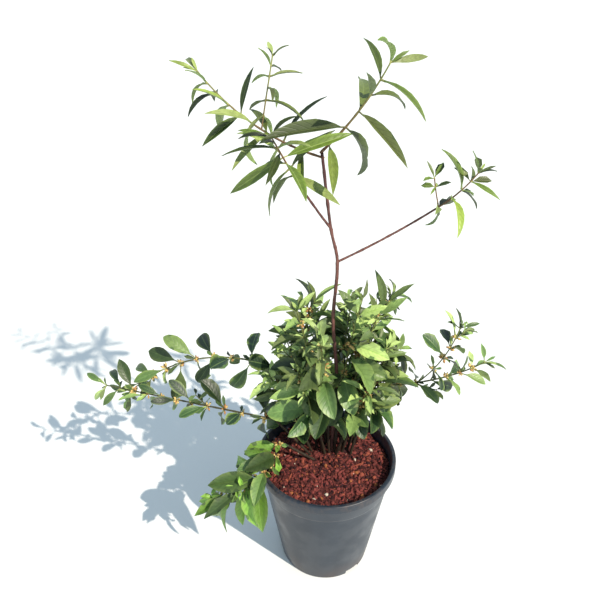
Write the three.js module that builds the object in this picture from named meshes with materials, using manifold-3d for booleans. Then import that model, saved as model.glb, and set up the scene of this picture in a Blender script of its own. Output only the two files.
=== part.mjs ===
// A potted sandalwood sapling. A slim, leaning trunk rises from the soil of a nursery pot and
// carries a crown of lance-shaped leaves on two boughs and two top shoots. Round its foot stands
// a bushy low growth of oval, pointed and spoon-shaped leaves. Sizes are in millimetres, angles in
// degrees, +Z is up.
import * as THREE from "three";
import { mergeVertices } from "three/addons/utils/BufferGeometryUtils.js";
import Module from "manifold-3d";

const wasm = await Module();
wasm.setup();

// Pot: a tapered tub with a stepped collar, a rolled lip and drain notches in its foot
const POT_HEIGHT = 124;
const POT_RIM_RADIUS = 65;
const POT_BASE_RADIUS = 43.5;
const POT_WALL = 1.8;
const POT_FLOOR = 6;
const LIP_HEIGHT = 8.5;
const LIP_PROUD = 2;
const LIP_ROUND = 1.2;
const COLLAR_HEIGHT = 24;
const COLLAR_PROUD = 0.8;
const FOOT_BEVEL = 1;
const NOTCH_COUNT = 3;
const NOTCH_FIRST = -52;
const NOTCH_WIDTH = 16;
const NOTCH_HEIGHT = 4.5;
const NOTCH_DEPTH = 5;
const POT_SIDES = 40;

// Soil, filled to a little below the rim
const SOIL_LEVEL = 114;
const SOIL_EDGE_LEVEL = 112.8;
const SOIL_FLAT_RADIUS = 40;

// The clear gap between neighbouring pieces, and the guard kept round every leaf
const GAP = 0.3;
const GUARD = 0.4;
const TINY_EDGE = 0.05;

// Trunk: sideways lean at each height, radius at the ground and at the tip, and the root flare
const TRUNK_DEPTH = 14;
const TRUNK_LEAN = [[114, 5], [200, 8], [264, 3], [319, 5], [348, -1], [408, -9]];
const TRUNK_RADIUS = [1.7, 1.15];
const FLARE = 0.8;
const FLARE_HEIGHT = 6;
const SINK = 6;

// Low growth: centre of its foot, the ring on which its long arms stand, and the open front, where
// leaves keep above a slope that rises forward from the foot
const FOOT = [4, 14];
const ARM_RING = 20;
const FRONT_LINE = 20;
const FRONT_SLOPE = 0.9;
const FRONT_HALF = 44;

// The stretch of trunk that stands free in front of the low growth: its heights, then the half
// breadth and the slope of the strip before it that leaves keep out of
const TRUNK_SHOWN = [204, 272];
const TRUNK_SHOWN_HALF = 4;
const TRUNK_SHOWN_SLOPE = 0.73;

// Girth of boughs and of the leafy stems that follow them, root and tip
const CROWN_BOUGH_RADIUS = [1.0, 0.85];
const LOW_BOUGH_RADIUS = [1.4, 1.0];
const STEM_STEP = 0.1;
const STEM_TIP_RADIUS = 0.5;
const TWIG_SHARE = 0.7;
const TRUNK_SIDES = 10;
const TRUNK_RINGS = 18;
const LIMB_SIDES = 6;
const STEM_SIDES = 4;

// Leaf kinds: stalk share, outline powers, breadth to length and angle from the stem, each for a
// shoot's root end and its tip, then hang, bend, spread of twist and size of the youngest leaves
const KINDS = {
  lance: {
    petiole: 0.07, rise: 0.85, fall: [1.05, 1.05], breadth: [0.175, 0.175], tilt: [84, 36],
    sag: 0.38, droop: 38, twist: 60, young: 0.55,
  },
  oval: {
    petiole: 0.12, rise: 0.95, fall: [0.85, 1.2], breadth: [0.54, 0.28], tilt: [76, 34],
    sag: 0.3, droop: 44, twist: 100, young: 0.6,
  },
  pointed: {
    petiole: 0.1, rise: 0.9, fall: [1.05, 1.2], breadth: [0.38, 0.26], tilt: [76, 34],
    sag: 0.3, droop: 44, twist: 100, young: 0.7,
  },
  spoon: {
    petiole: 0.2, rise: 1.15, fall: [0.6, 1.15], breadth: [0.52, 0.26], tilt: [76, 38],
    sag: 0.15, droop: 36, twist: 80, young: 0.8,
  },
};
const LEAF_ROWS = [0, 0.32, 0.68, 1];
const LEAF_KEEL = 0.015;
const STALK_HALF = 0.4;
const STALK_DEPTH = 0.25;

// Growth rule: steps along a stem, clear room round leaves and stems, and tries at placing a leaf
const STEPS = 12;
const BEND_PER_RING = 8;
const LEAF_CLEAR = 2.2;
const TRUNK_CLEAR = 3.7;
const STEM_CLEAR = 2.2;
const ROOM_CELL = 8;
const HOPS = [0, 30, -30, 60, -60, 90];
const SAMPLE_ROWS = [0.25, 0.4, 0.55, 0.7, 0.85];
const SAMPLE_COLUMNS = [-1, -0.5, 0, 0.5, 1];
const UP = [0, 0, 1];
const LIGHT = [0.22, -0.52, 0.82];

// Crown shoots: height on the trunk, the bare bough if there is one, the leafy spray and its twig
const CROWN = [
  {
    name: "leader", from: 409, seed: 65385, girth: 1.1,
    spray: {
      heading: -20, climb: 45, length: 80, swing: -7, bow: 18, bare: 0.1, pairs: 6, leaf: 65, roll: 125,
    },
  },
  {
    name: "left", from: 348, seed: 69955,
    bough: { heading: 203, climb: 54, length: 56, swing: 6, bow: 4 },
    spray: { heading: 213, climb: 60, length: 36, bare: 0.05, pairs: 8, leaf: 49, roll: 10 },
  },
  {
    name: "long_left", from: 404.5, seed: 80290, girth: 1.0,
    spray: {
      heading: 175, climb: 15, length: 108, swing: -6, bow: 36, bare: 0.14, pairs: 9, leaf: 47, roll: 30,
    },
    twig: {
      at: 0.45, heading: 57, climb: 74, length: 52, swing: 16, bow: -14,
      bare: 0.2, pairs: 6, leaf: 32, roll: 90,
    },
  },
  {
    name: "right", from: 319, seed: 62968,
    bough: { heading: 10, climb: 23, length: 88, bow: 8 },
    spray: { heading: 0, climb: 34, length: 42, bow: 22, bare: 0.05, pairs: 5, leaf: 38, roll: 75 },
    twig: {
      at: 0.06, heading: 165, climb: 72, length: 24, bow: 8, bare: 0.7, pairs: 2, leaf: 13, roll: 0,
    },
  },
];

// Long low arms: bearing of the foot, the bare stem from the soil, the leafy spray and its twig
const ARMS = [
  {
    kind: "pointed", foot: 40, seed: 5222,
    bough: { heading: 45, climb: 87, length: 87 },
    spray: { heading: 21, climb: 80, length: 78, swing: 28, bow: -55, pairs: 10, leaf: 43, roll: 30 },
  },
  {
    kind: "pointed", foot: 130, seed: 118,
    bough: { heading: 176, climb: 83, length: 88 },
    spray: { heading: 98, climb: 80, length: 61, swing: -36, bow: -26, pairs: 9, leaf: 45, roll: 20 },
  },
  {
    kind: "spoon", foot: 165, seed: 1522,
    bough: { heading: 167, climb: 75, length: 89 },
    spray: { heading: 159, climb: 17, length: 165, swing: 30, bow: -60, pairs: 10, leaf: 35, roll: 130 },
  },
  {
    kind: "spoon", foot: 195, seed: 9759,
    bough: { heading: 194, climb: 57, length: 61 },
    spray: { heading: 168, climb: 4, length: 160, swing: 6, bow: 6, pairs: 11, leaf: 33, roll: 80 },
  },
  {
    kind: "spoon", foot: -15, seed: 9935,
    bough: { heading: -8, climb: 80, length: 87 },
    spray: { heading: 8, climb: -8, length: 104, swing: -30, bow: 54, pairs: 8, leaf: 27, roll: 10 },
    twig: {
      at: 0.4, heading: 4, climb: 41, length: 62, swing: 40, bow: 20,
      bare: 0.3, pairs: 5, leaf: 27, roll: 0,
    },
  },
  {
    kind: "pointed", foot: 216, seed: 5431,
    bough: { heading: 189, climb: 41, length: 43 },
    spray: {
      heading: 265, climb: -19, length: 95, swing: -126, bow: -21,
      bare: 0.03, pairs: 13, leaf: 41, roll: 50,
    },
  },
];

// Core shoots, dealt round the foot by a turning angle: inner, steeper and longer ones come first
const CORE = {
  count: 16, first: 280, turn: 137.5, ring: [8, 19], climb: [88, 71], rise: [77, 43],
  length: [101, 59], bow: -5, drop: 0.3, front: 0.8, pairs: 7, leaf: 39,
  seed: 641, clear: 3.5, shift: 8, tries: 12,
};
const BARE = 0.06;

// Colours
const POT_COLOUR = 0x565e68;
const SOIL_COLOUR = 0x6b3a33;
const BARK_COLOUR = 0x5d3d37;
const LOW_BARK_COLOUR = 0x6a5a3c;
const CROWN_COLOUR = 0x7f9f52;
const LOW_COLOUR = 0x5c7f40;

// Vectors
const add = (a, b, k = 1) => [a[0] + k * b[0], a[1] + k * b[1], a[2] + k * b[2]];
const sub = (a, b) => add(a, b, -1);
const times = (a, k) => [a[0] * k, a[1] * k, a[2] * k];
const dot = (a, b) => a[0] * b[0] + a[1] * b[1] + a[2] * b[2];
const cross = (a, b) => [a[1] * b[2] - a[2] * b[1], a[2] * b[0] - a[0] * b[2], a[0] * b[1] - a[1] * b[0]];
const unit = (a) => times(a, 1 / Math.sqrt(dot(a, a)));
const dist = (a, b) => Math.sqrt(dot(sub(a, b), sub(a, b)));
const mix = (a, b, s) => a + (b - a) * s;
const rad = THREE.MathUtils.degToRad;

// Repeatable throws between 0 and 1
function dice(seed) {
  let state = Math.imul(seed, 2654435761) >>> 0;
  const roll = () => {
    state = (Math.imul(state, 1664525) + 1013904223) >>> 0;
    return state / 4294967296;
  };
  for (let i = 0; i < 3; i++) roll();
  return roll;
}

// Paths
function aim(heading, climb) {
  const h = rad(heading);
  const c = rad(climb);
  return [Math.cos(h) * Math.cos(c), Math.sin(h) * Math.cos(c), Math.sin(c)];
}

function arc(root, { heading, climb, length, swing = 0, bow = 0 }) {
  const path = [root];
  for (let i = 0; i < STEPS; i++) {
    const s = (i + 0.5) / STEPS;
    path.push(add(path[i], aim(heading + swing * s, climb + bow * s), length / STEPS));
  }
  return path;
}

function along(path, s) {
  const last = path.length - 1;
  const x = Math.min(Math.max(s, 0), 1) * last;
  const i = Math.min(Math.floor(x), last - 1);
  const step = sub(path[i + 1], path[i]);
  return [add(path[i], step, x - i), unit(step)];
}

function lengthOf(path) {
  return path.slice(1).reduce((sum, p, i) => sum + dist(p, path[i]), 0);
}

function beads(path, step) {
  const count = Math.max(2, Math.floor(lengthOf(path) / step));
  return Array.from({ length: count + 1 }, (_, j) => along(path, j / count)[0]);
}

// Rings enough for a limb to keep to its bend
function ringsFor({ swing = 0, bow = 0 }) {
  return Math.min(STEPS, Math.max(3, Math.ceil((Math.abs(swing) + Math.abs(bow)) / BEND_PER_RING)));
}

// The trunk's axis, a smooth curve through its leans
function trunkAxis() {
  const last = TRUNK_LEAN.length - 1;
  const slope = (i) => {
    const a = TRUNK_LEAN[Math.max(i - 1, 0)];
    const b = TRUNK_LEAN[Math.min(i + 1, last)];
    return (b[1] - a[1]) / (b[0] - a[0]);
  };
  const path = [];
  for (let i = 0; i < last; i++) {
    const [z0, x0] = TRUNK_LEAN[i];
    const [z1, x1] = TRUNK_LEAN[i + 1];
    for (let j = 0; j < STEPS / 2; j++) {
      const f = j / (STEPS / 2);
      const x = x0 * (2 * f ** 3 - 3 * f ** 2 + 1) + x1 * (3 * f ** 2 - 2 * f ** 3)
        + (z1 - z0) * (slope(i) * (f ** 3 - 2 * f ** 2 + f) + slope(i + 1) * (f ** 3 - f ** 2));
      path.push([x, TRUNK_DEPTH, mix(z0, z1, f)]);
    }
  }
  path.push([TRUNK_LEAN[last][1], TRUNK_DEPTH, TRUNK_LEAN[last][0]]);
  return path;
}

function trunkAt(axis, height) {
  let i = 0;
  while (i < axis.length - 2 && axis[i + 1][2] < height) i++;
  return add(axis[i], sub(axis[i + 1], axis[i]), (height - axis[i][2]) / (axis[i + 1][2] - axis[i][2]));
}

// Leaves
function widthShare(leaf, t) {
  const u = (t - leaf.petiole) / (1 - leaf.petiole);
  if (u <= 0 || u >= 1) return 0;
  const peak = leaf.rise / (leaf.rise + leaf.fall);
  return (u / peak) ** leaf.rise * ((1 - u) / (1 - peak)) ** leaf.fall;
}

function leafSpine(leaf, t) {
  const bend = rad(leaf.droop);
  const reach = leaf.length * Math.sin(bend * t) / bend;
  const drop = leaf.length * (1 - Math.cos(bend * t)) / bend;
  return add(add(leaf.base, leaf.way, reach), leaf.face, -drop);
}

function leafSamples(leaf) {
  const found = [leafSpine(leaf, 1)];
  for (const t of SAMPLE_ROWS) {
    const half = leaf.half * widthShare(leaf, t);
    const spot = leafSpine(leaf, t);
    for (const v of SAMPLE_COLUMNS) found.push(add(spot, leaf.side, v * half));
  }
  return found;
}

// The way a leaf points, its upper face and its side, for a leaf on a stem that runs along t
function leafFrame(t, roll, tilt, sag, twist) {
  const flat = cross(t, UP);
  const e1 = dot(flat, flat) > 1e-4 ? unit(flat) : [1, 0, 0];
  const e2 = cross(e1, t);
  const out = add(times(e1, Math.cos(roll)), e2, Math.sin(roll));
  const lifted = add(times(t, Math.cos(tilt)), out, Math.sin(tilt));
  const way = unit(add(lifted, UP, -sag));
  const lit = add(LIGHT, t, 0.35);
  const plain = unit(add(lit, way, -dot(lit, way)));
  const face = add(times(plain, Math.cos(twist)), cross(way, plain), Math.sin(twist));
  return { way, face, side: cross(way, face) };
}

// Room already taken by stems and leaves, kept in a grid of cells
function makeRoom() {
  const cells = new Map();
  const cell = (p) => p.map((c) => Math.floor(c / ROOM_CELL));
  return {
    put(p, reach) {
      const key = cell(p).join();
      if (!cells.has(key)) cells.set(key, []);
      cells.get(key).push([p, reach]);
    },
    free(p) {
      const [i, j, k] = cell(p);
      for (let n = 0; n < 27; n++) {
        const key = [i + n % 3 - 1, j + Math.floor(n / 3) % 3 - 1, k + Math.floor(n / 9) - 1].join();
        if ((cells.get(key) ?? []).some(([q, reach]) => dist(p, q) < reach)) return false;
      }
      return true;
    },
  };
}

// A leaf here would hide the trunk where it rises in front of the low growth
function beforeTheTrunk(p) {
  const near = TRUNK_DEPTH - p[1];
  const height = p[2] - TRUNK_SHOWN_SLOPE * near;
  const line = Math.abs(p[0] - TRUNK_LEAN[1][1]) < TRUNK_SHOWN_HALF;
  return near > 0 && line && height > TRUNK_SHOWN[0] && height < TRUNK_SHOWN[1];
}

// A leaf keeps off the ground, the soil and the pot's rim, and leaves the front open
function offThePot(p) {
  const r = Math.hypot(p[0], p[1]);
  if (p[2] < 2 || beforeTheTrunk(p)) return false;
  const front = SOIL_LEVEL + FRONT_SLOPE * (FRONT_LINE - p[1]);
  if (Math.abs(p[0] - FOOT[0]) < FRONT_HALF && p[2] < front) return false;
  if (p[2] < SOIL_LEVEL + 2 && r < POT_RIM_RADIUS + 1) return false;
  return !(p[2] < POT_HEIGHT + 3 && r > POT_RIM_RADIUS - 7 && r < POT_RIM_RADIUS + 4);
}

// The leaves of one stem: opposite pairs, each pair turned a quarter on from the last
function leavesOn(path, shoot, kindName, roll, room) {
  const kind = KINDS[kindName];
  const made = [];
  for (let i = 0; i < shoot.pairs; i++) {
    const share = i / (shoot.pairs - 1);
    const [base, t] = along(path, mix(shoot.bare ?? BARE, 1, share ** 0.85));
    const turn = shoot.roll + 90 * i + (roll() - 0.5) * 50;
    const vigour = share > 0.35 ? 1 - (1 - kind.young) * (share - 0.35) / 0.65 : mix(0.85, 1, share / 0.35);
    const group = [];
    for (const round of [0, 180]) {
      const r = [roll(), roll(), roll(), roll(), roll(), roll()];
      const length = shoot.leaf * vigour * (0.82 + 0.36 * r[2]);
      const tilt = rad(mix(...kind.tilt, share) + (r[1] - 0.5) * 36);
      const twist = rad((r[5] - 0.5) * kind.twist);
      for (const hop of HOPS) {
        const facing = rad(turn + round + (r[0] - 0.5) * 40 + hop);
        const leaf = {
          base, length,
          half: length * mix(...kind.breadth, share) / 2 * (0.85 + 0.3 * r[3]),
          droop: Math.max(2, kind.droop * (0.3 + 1.4 * r[4])),
          petiole: kind.petiole, rise: kind.rise, fall: mix(...kind.fall, share),
          ...leafFrame(t, facing, tilt, kind.sag * (1 - 0.5 * share), twist),
        };
        const spots = leafSamples(leaf);
        if (spots.every((p) => offThePot(p) && room.free(p))) {
          group.push([leaf, spots]);
          break;
        }
      }
    }
    for (const [leaf, spots] of group) {
      made.push(leaf);
      for (const p of spots) room.put(p, LEAF_CLEAR);
    }
  }
  return made;
}

// A place on the soil, by its bearing and distance from the foot's centre
function footAt(bearing, ring) {
  return [FOOT[0] + ring * Math.cos(rad(bearing)), FOOT[1] + ring * Math.sin(rad(bearing)), SOIL_LEVEL];
}

// The core shoots: each stands on its own bearing, shifted a little where it would near a stem.
// Those on the far side leaf out lower, and the feet of those in front are drawn in.
function coreShoots(held) {
  const roll = dice(CORE.seed);
  const made = [];
  for (let i = 0; i < CORE.count; i++) {
    const share = (i + 0.5) / CORE.count;
    const ring = mix(...CORE.ring, share);
    const climb = mix(...CORE.climb, share);
    const rise = mix(...CORE.rise, share);
    const length = mix(...CORE.length, share) * (0.9 + 0.2 * roll());
    let shoot;
    let line;
    for (let k = 0; k < CORE.tries; k++) {
      const heading = CORE.first + CORE.turn * i + Math.floor((k + 1) / 2) * CORE.shift * (k % 2 ? 1 : -1);
      const near = Math.max(0, -Math.sin(rad(heading)));
      const away = (1 + Math.sin(rad(heading))) / 2;
      const root = footAt(heading, ring * (1 - CORE.front * near));
      const bough = { heading, climb, length: rise * (1 - CORE.drop * away) };
      const spray = {
        heading, climb: climb - 4, bow: CORE.bow, length,
        pairs: CORE.pairs, leaf: CORE.leaf, roll: 45 * i,
      };
      shoot = { kind: "oval", root, bough, spray, seed: CORE.seed + i };
      const lower = arc(root, bough);
      line = [...beads(lower, 2), ...beads(arc(lower[STEPS], spray), 2)];
      if (held.every((other) => other.every((q) => line.every((p) => dist(p, q) > CORE.clear)))) break;
    }
    held.push(line);
    made.push(shoot);
  }
  return made;
}

// Solids
function solid(shape) {
  const bare = shape.clone();
  bare.deleteAttribute("normal");
  bare.deleteAttribute("uv");
  const merged = mergeVertices(bare);
  const corners = merged.index.array;
  const kept = [];
  for (let i = 0; i < corners.length; i += 3) {
    const [a, b, c] = corners.slice(i, i + 3);
    if (a !== b && b !== c && c !== a) kept.push(a, b, c);
  }
  return new wasm.Manifold(new wasm.Mesh({
    numProp: 3,
    vertProperties: new Float32Array(merged.getAttribute("position").array),
    triVerts: new Uint32Array(kept),
  }));
}

function turned(profile) {
  const shape = new THREE.LatheGeometry(profile.map(([r, z]) => new THREE.Vector2(r, z)), POT_SIDES);
  return solid(shape.rotateX(Math.PI / 2));
}

// A tapering limb bent along its path
function limb(path, radiusAt, sides, rings) {
  const shape = new THREE.CylinderGeometry(1, 1, 1, sides, rings);
  const spots = shape.getAttribute("position");
  const chord = unit(sub(path[path.length - 1], path[0]));
  const level = Math.abs(chord[2]) < 0.8 ? UP : [0, 1, 0];
  for (let i = 0; i < spots.count; i++) {
    const s = spots.getY(i) + 0.5;
    const [spot, way] = along(path, s);
    const side = unit(cross(way, level));
    const r = radiusAt(s);
    const p = add(add(spot, side, r * spots.getX(i)), cross(side, way), r * spots.getZ(i));
    spots.setXYZ(i, ...p);
  }
  return solid(shape);
}

// A leaf: flat above, keeled below, from its stalk in the stem to its point
function leafSolid(leaf, guard) {
  const last = LEAF_ROWS.length - 1;
  const shape = new THREE.CylinderGeometry(0, 1, 1, 3, last);
  const spots = shape.getAttribute("position");
  for (let i = 0; i < spots.count; i++) {
    const y = spots.getY(i);
    const row = Math.round((y + 0.5) * last);
    const t = LEAF_ROWS[row];
    const size = row < last ? 1 / (0.5 - y) : 0;
    const across = spots.getX(i) * size / Math.sin(rad(60));
    const below = (spots.getZ(i) * size + 0.5) / 1.5;
    const half = Math.max(STALK_HALF, leaf.half * widthShare(leaf, t)) + guard;
    const keel = leaf.length * LEAF_KEEL * (1 - 0.6 * t) + STALK_DEPTH + 2 * guard;
    const spot = add(leafSpine(leaf, t), leaf.face, (size ? 1 : 0) * (guard - keel * below));
    spots.setXYZ(i, ...add(spot, leaf.side, -across * half));
  }
  return solid(shape);
}

// The largest piece alone, with its tiny edges cleaned away
function oneBody(whole) {
  const pieces = whole.simplify(TINY_EDGE).decompose();
  return pieces.reduce((best, piece) => (piece.volume() > best.volume() ? piece : best));
}

function makePot() {
  const wall = (z) => mix(POT_BASE_RADIUS, POT_RIM_RADIUS - LIP_PROUD, z / POT_HEIGHT);
  const step = POT_HEIGHT - COLLAR_HEIGHT;
  const lip = POT_HEIGHT - LIP_HEIGHT;
  const inner = (z) => wall(z) - POT_WALL;
  let pot = turned([
    [0, 0],
    [POT_BASE_RADIUS - FOOT_BEVEL, 0],
    [wall(FOOT_BEVEL), FOOT_BEVEL],
    [wall(step), step],
    [wall(step) + COLLAR_PROUD, step + COLLAR_PROUD],
    [wall(lip) + COLLAR_PROUD, lip],
    [POT_RIM_RADIUS, lip + LIP_ROUND / 2],
    [POT_RIM_RADIUS, POT_HEIGHT - LIP_ROUND],
    [POT_RIM_RADIUS - LIP_ROUND, POT_HEIGHT],
    [inner(POT_HEIGHT) + LIP_ROUND, POT_HEIGHT],
    [inner(POT_HEIGHT), POT_HEIGHT - LIP_ROUND],
    [inner(POT_FLOOR), POT_FLOOR],
    [0, POT_FLOOR],
  ]);
  for (let i = 0; i < NOTCH_COUNT; i++) {
    const notch = new THREE.BoxGeometry(2 * NOTCH_DEPTH, NOTCH_WIDTH, 2 * NOTCH_HEIGHT);
    notch.translate(POT_BASE_RADIUS, 0, 0);
    notch.rotateZ(rad(NOTCH_FIRST + i * 360 / NOTCH_COUNT));
    pot = pot.subtract(solid(notch));
  }
  const soil = turned([
    [0, POT_FLOOR + GAP],
    [inner(POT_FLOOR) - GAP, POT_FLOOR + GAP],
    [inner(SOIL_EDGE_LEVEL) - GAP, SOIL_EDGE_LEVEL],
    [SOIL_FLAT_RADIUS, SOIL_LEVEL],
    [0, SOIL_LEVEL],
  ]);
  return [pot, soil];
}

// A limb's path with a short run added before its root or past its tip
const sunk = (path) => [add(path[0], unit(sub(path[1], path[0])), -SINK), ...path];
const pastTip = (path) => [...path, add(path[path.length - 1], along(path, 1)[1], GAP)];
const wider = (sides) => GAP / Math.cos(Math.PI / sides);

// Everything is laid out first: the trunk, then each shoot's bough, stem and twig
const axis = trunkAxis();
const arms = ARMS.map((arm) => ({ ...arm, root: footAt(arm.foot, ARM_RING) }));
const held = [beads(axis, 2)];
for (const arm of arms) {
  const lower = arc(arm.root, arm.bough);
  held.push([...beads(lower, 2), ...beads(arc(lower[STEPS], arm.spray), 2)]);
}
const shoots = [
  ...CROWN.map((shoot) => ({ ...shoot, kind: "lance", root: trunkAt(axis, shoot.from) })),
  ...[...arms, ...coreShoots(held)].map((shoot, i) => ({ ...shoot, name: `low_${i + 1}` })),
];
const room = makeRoom();
const claim = (path, reach) => beads(path, 3).forEach((p) => room.put(p, reach));
claim(axis, TRUNK_CLEAR);
for (const shoot of shoots) {
  const start = shoot.bough ? arc(shoot.root, shoot.bough) : null;
  shoot.boughPath = start;
  shoot.stemPath = arc(start ? start[STEPS] : shoot.root, shoot.spray);
  shoot.twigPath = shoot.twig ? arc(along(shoot.stemPath, shoot.twig.at)[0], shoot.twig) : null;
  for (const path of [shoot.boughPath, shoot.stemPath, shoot.twigPath]) if (path) claim(path, STEM_CLEAR);
}

// Limbs, each cut flat above the soil or clear of the trunk
const ground = solid(
  new THREE.CylinderGeometry(POT_RIM_RADIUS, POT_RIM_RADIUS, SOIL_LEVEL + GAP, 16)
    .rotateX(Math.PI / 2)
    .translate(0, 0, (SOIL_LEVEL + GAP) / 2),
);
const trunkRadius = (s) => {
  const height = s * (TRUNK_LEAN[TRUNK_LEAN.length - 1][0] - SOIL_LEVEL);
  return mix(...TRUNK_RADIUS, s) + FLARE * Math.exp(-height / FLARE_HEIGHT);
};
const trunk = limb(sunk(axis), trunkRadius, TRUNK_SIDES, TRUNK_RINGS).subtract(ground);
const trunkRoom = limb(pastTip(axis), (s) => trunkRadius(s) + wider(TRUNK_SIDES), TRUNK_SIDES, TRUNK_RINGS);
const nodes = [];
const addNode = (name, body, colour) => nodes.push({ name, body, colour, box: body.boundingBox() });
for (const shoot of shoots) {
  const low = shoot.kind !== "lance";
  const radii = low ? LOW_BOUGH_RADIUS : CROWN_BOUGH_RADIUS;
  const root = shoot.bough ? radii[1] - STEM_STEP : shoot.girth;
  const stemGirth = (s) => mix(root, STEM_TIP_RADIUS, s);
  shoot.stem = limb(shoot.stemPath, stemGirth, STEM_SIDES, ringsFor(shoot.spray));
  if (shoot.twig) {
    const twigGirth = (s) => mix(stemGirth(shoot.twig.at) * TWIG_SHARE, STEM_TIP_RADIUS, s);
    const twig = limb(shoot.twigPath, twigGirth, STEM_SIDES, ringsFor(shoot.twig));
    shoot.stem = shoot.stem.add(twig);
  }
  shoot.seat = trunkRoom;
  if (!shoot.bough) continue;
  const girth = (s) => mix(...radii, s);
  const roomGirth = (s) => girth(s) + wider(LIMB_SIDES);
  const rings = ringsFor(shoot.bough);
  const body = limb(low ? sunk(shoot.boughPath) : shoot.boughPath, girth, LIMB_SIDES, rings);
  const cut = oneBody(body.subtract(low ? ground : trunkRoom));
  if (low) addNode(`${shoot.name}_stem`, cut, LOW_BARK_COLOUR);
  else addNode(`bough_${shoot.name}`, cut, BARK_COLOUR);
  shoot.seat = limb(pastTip(shoot.boughPath), roomGirth, LIMB_SIDES, rings);
}
addNode("trunk", oneBody(trunk), BARK_COLOUR);

// Leaf masses: a stem with its leaves fused on, a leaf that would touch anything else left off
const apart = (a, b) => [0, 1, 2].some((c) => a.max[c] < b.min[c] || b.max[c] < a.min[c]);
const stemNodes = shoots.map((shoot) => ({ shoot, body: shoot.stem, box: shoot.stem.boundingBox() }));
for (const shoot of shoots) {
  const roll = dice(shoot.seed);
  const leaves = leavesOn(shoot.stemPath, shoot.spray, shoot.kind, roll, room);
  if (shoot.twig) leaves.push(...leavesOn(shoot.twigPath, shoot.twig, shoot.kind, roll, room));
  const others = [...nodes, ...stemNodes.filter((other) => other.shoot !== shoot)];
  const parts = [shoot.stem];
  for (const leaf of leaves) {
    const guard = leafSolid(leaf, GUARD);
    const box = guard.boundingBox();
    const clear = others.every((other) => apart(box, other.box) || guard.intersect(other.body).isEmpty());
    if (clear) parts.push(leafSolid(leaf, 0));
  }
  const mass = oneBody(wasm.Manifold.union(parts).subtract(shoot.seat));
  const low = shoot.kind !== "lance";
  addNode(low ? `${shoot.name}_leaves` : `crown_${shoot.name}`, mass, low ? LOW_COLOUR : CROWN_COLOUR);
}
const [pot, soil] = makePot();
addNode("pot", oneBody(pot), POT_COLOUR);
addNode("soil", oneBody(soil), SOIL_COLOUR);

function meshOf({ name, body, colour }) {
  const found = body.getMesh();
  const shape = new THREE.BufferGeometry();
  shape.setAttribute("position", new THREE.BufferAttribute(new Float32Array(found.vertProperties), 3));
  shape.setIndex(new THREE.BufferAttribute(new Uint32Array(found.triVerts), 1));
  shape.computeVertexNormals();
  const mesh = new THREE.Mesh(shape, new THREE.MeshStandardMaterial({ color: colour, roughness: 0.7 }));
  mesh.name = name;
  return mesh;
}

const plant = new THREE.Group();
plant.name = "potted_sapling";
for (const node of nodes) plant.add(meshOf(node));
export default plant;
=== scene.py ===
# The finished look of a potted sandalwood sapling with bushy low growth round its foot.
# The plant grows here by the same rule as the part's solids, then goes on to finer detail.
# Growth is worked out in millimetres, and the pieces are made in metres, in the part's frame.
import itertools
import math

import bmesh
import bpy
import numpy as np
from mathutils import Matrix, Vector, noise


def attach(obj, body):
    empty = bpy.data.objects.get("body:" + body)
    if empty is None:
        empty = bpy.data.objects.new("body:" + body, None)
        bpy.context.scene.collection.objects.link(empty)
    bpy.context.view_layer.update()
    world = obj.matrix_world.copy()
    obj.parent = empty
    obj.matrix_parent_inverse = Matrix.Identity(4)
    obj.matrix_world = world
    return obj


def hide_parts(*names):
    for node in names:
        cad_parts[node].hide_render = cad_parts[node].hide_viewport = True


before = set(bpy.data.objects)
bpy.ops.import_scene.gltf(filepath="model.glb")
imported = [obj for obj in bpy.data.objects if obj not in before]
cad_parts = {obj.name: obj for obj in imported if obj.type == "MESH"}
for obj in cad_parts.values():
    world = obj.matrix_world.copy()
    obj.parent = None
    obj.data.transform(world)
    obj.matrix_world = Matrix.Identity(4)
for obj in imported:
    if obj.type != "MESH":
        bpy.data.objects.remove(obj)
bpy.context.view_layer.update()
scene = bpy.context.scene
MM = 0.001

# Pot and soil
POT_HEIGHT = 124
POT_RIM_RADIUS = 65
POT_BASE_RADIUS = 43.5
POT_WALL = 1.8
POT_FLOOR = 6
LIP_HEIGHT = 8.5
LIP_PROUD = 2
LIP_ROUND = 1.2
COLLAR_HEIGHT = 24
COLLAR_PROUD = 0.8
FOOT_BEVEL = 1
NOTCH_COUNT = 3
NOTCH_FIRST = -52
NOTCH_WIDTH = 16
NOTCH_HEIGHT = 4.5
NOTCH_DEPTH = 5
POT_STEPS = 120
ROUND_STEPS = 5
SOIL_LEVEL = 114
SOIL_EDGE_LEVEL = 112.8
SOIL_FLAT_RADIUS = 40
GAP = 0.3

# Trunk, boughs and leafy stems
TRUNK_DEPTH = 14
TRUNK_LEAN = [[114, 5], [200, 8], [264, 3], [319, 5], [348, -1], [408, -9]]
TRUNK_RADIUS = [1.7, 1.15]
FLARE = 0.8
FLARE_HEIGHT = 6
SINK = 6
FOOT = [4, 14]
ARM_RING = 20
CROWN_BOUGH_RADIUS = [1.0, 0.85]
LOW_BOUGH_RADIUS = [1.4, 1.0]
STEM_STEP = 0.1
STEM_TIP_RADIUS = 0.5
TWIG_SHARE = 0.7

# Space that leaves keep out of: over the front of the soil, and a strip before the trunk
FRONT_LINE = 20
FRONT_SLOPE = 0.9
FRONT_HALF = 44
TRUNK_SHOWN = [204, 272]
TRUNK_SHOWN_HALF = 4
TRUNK_SHOWN_SLOPE = 0.73

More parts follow.
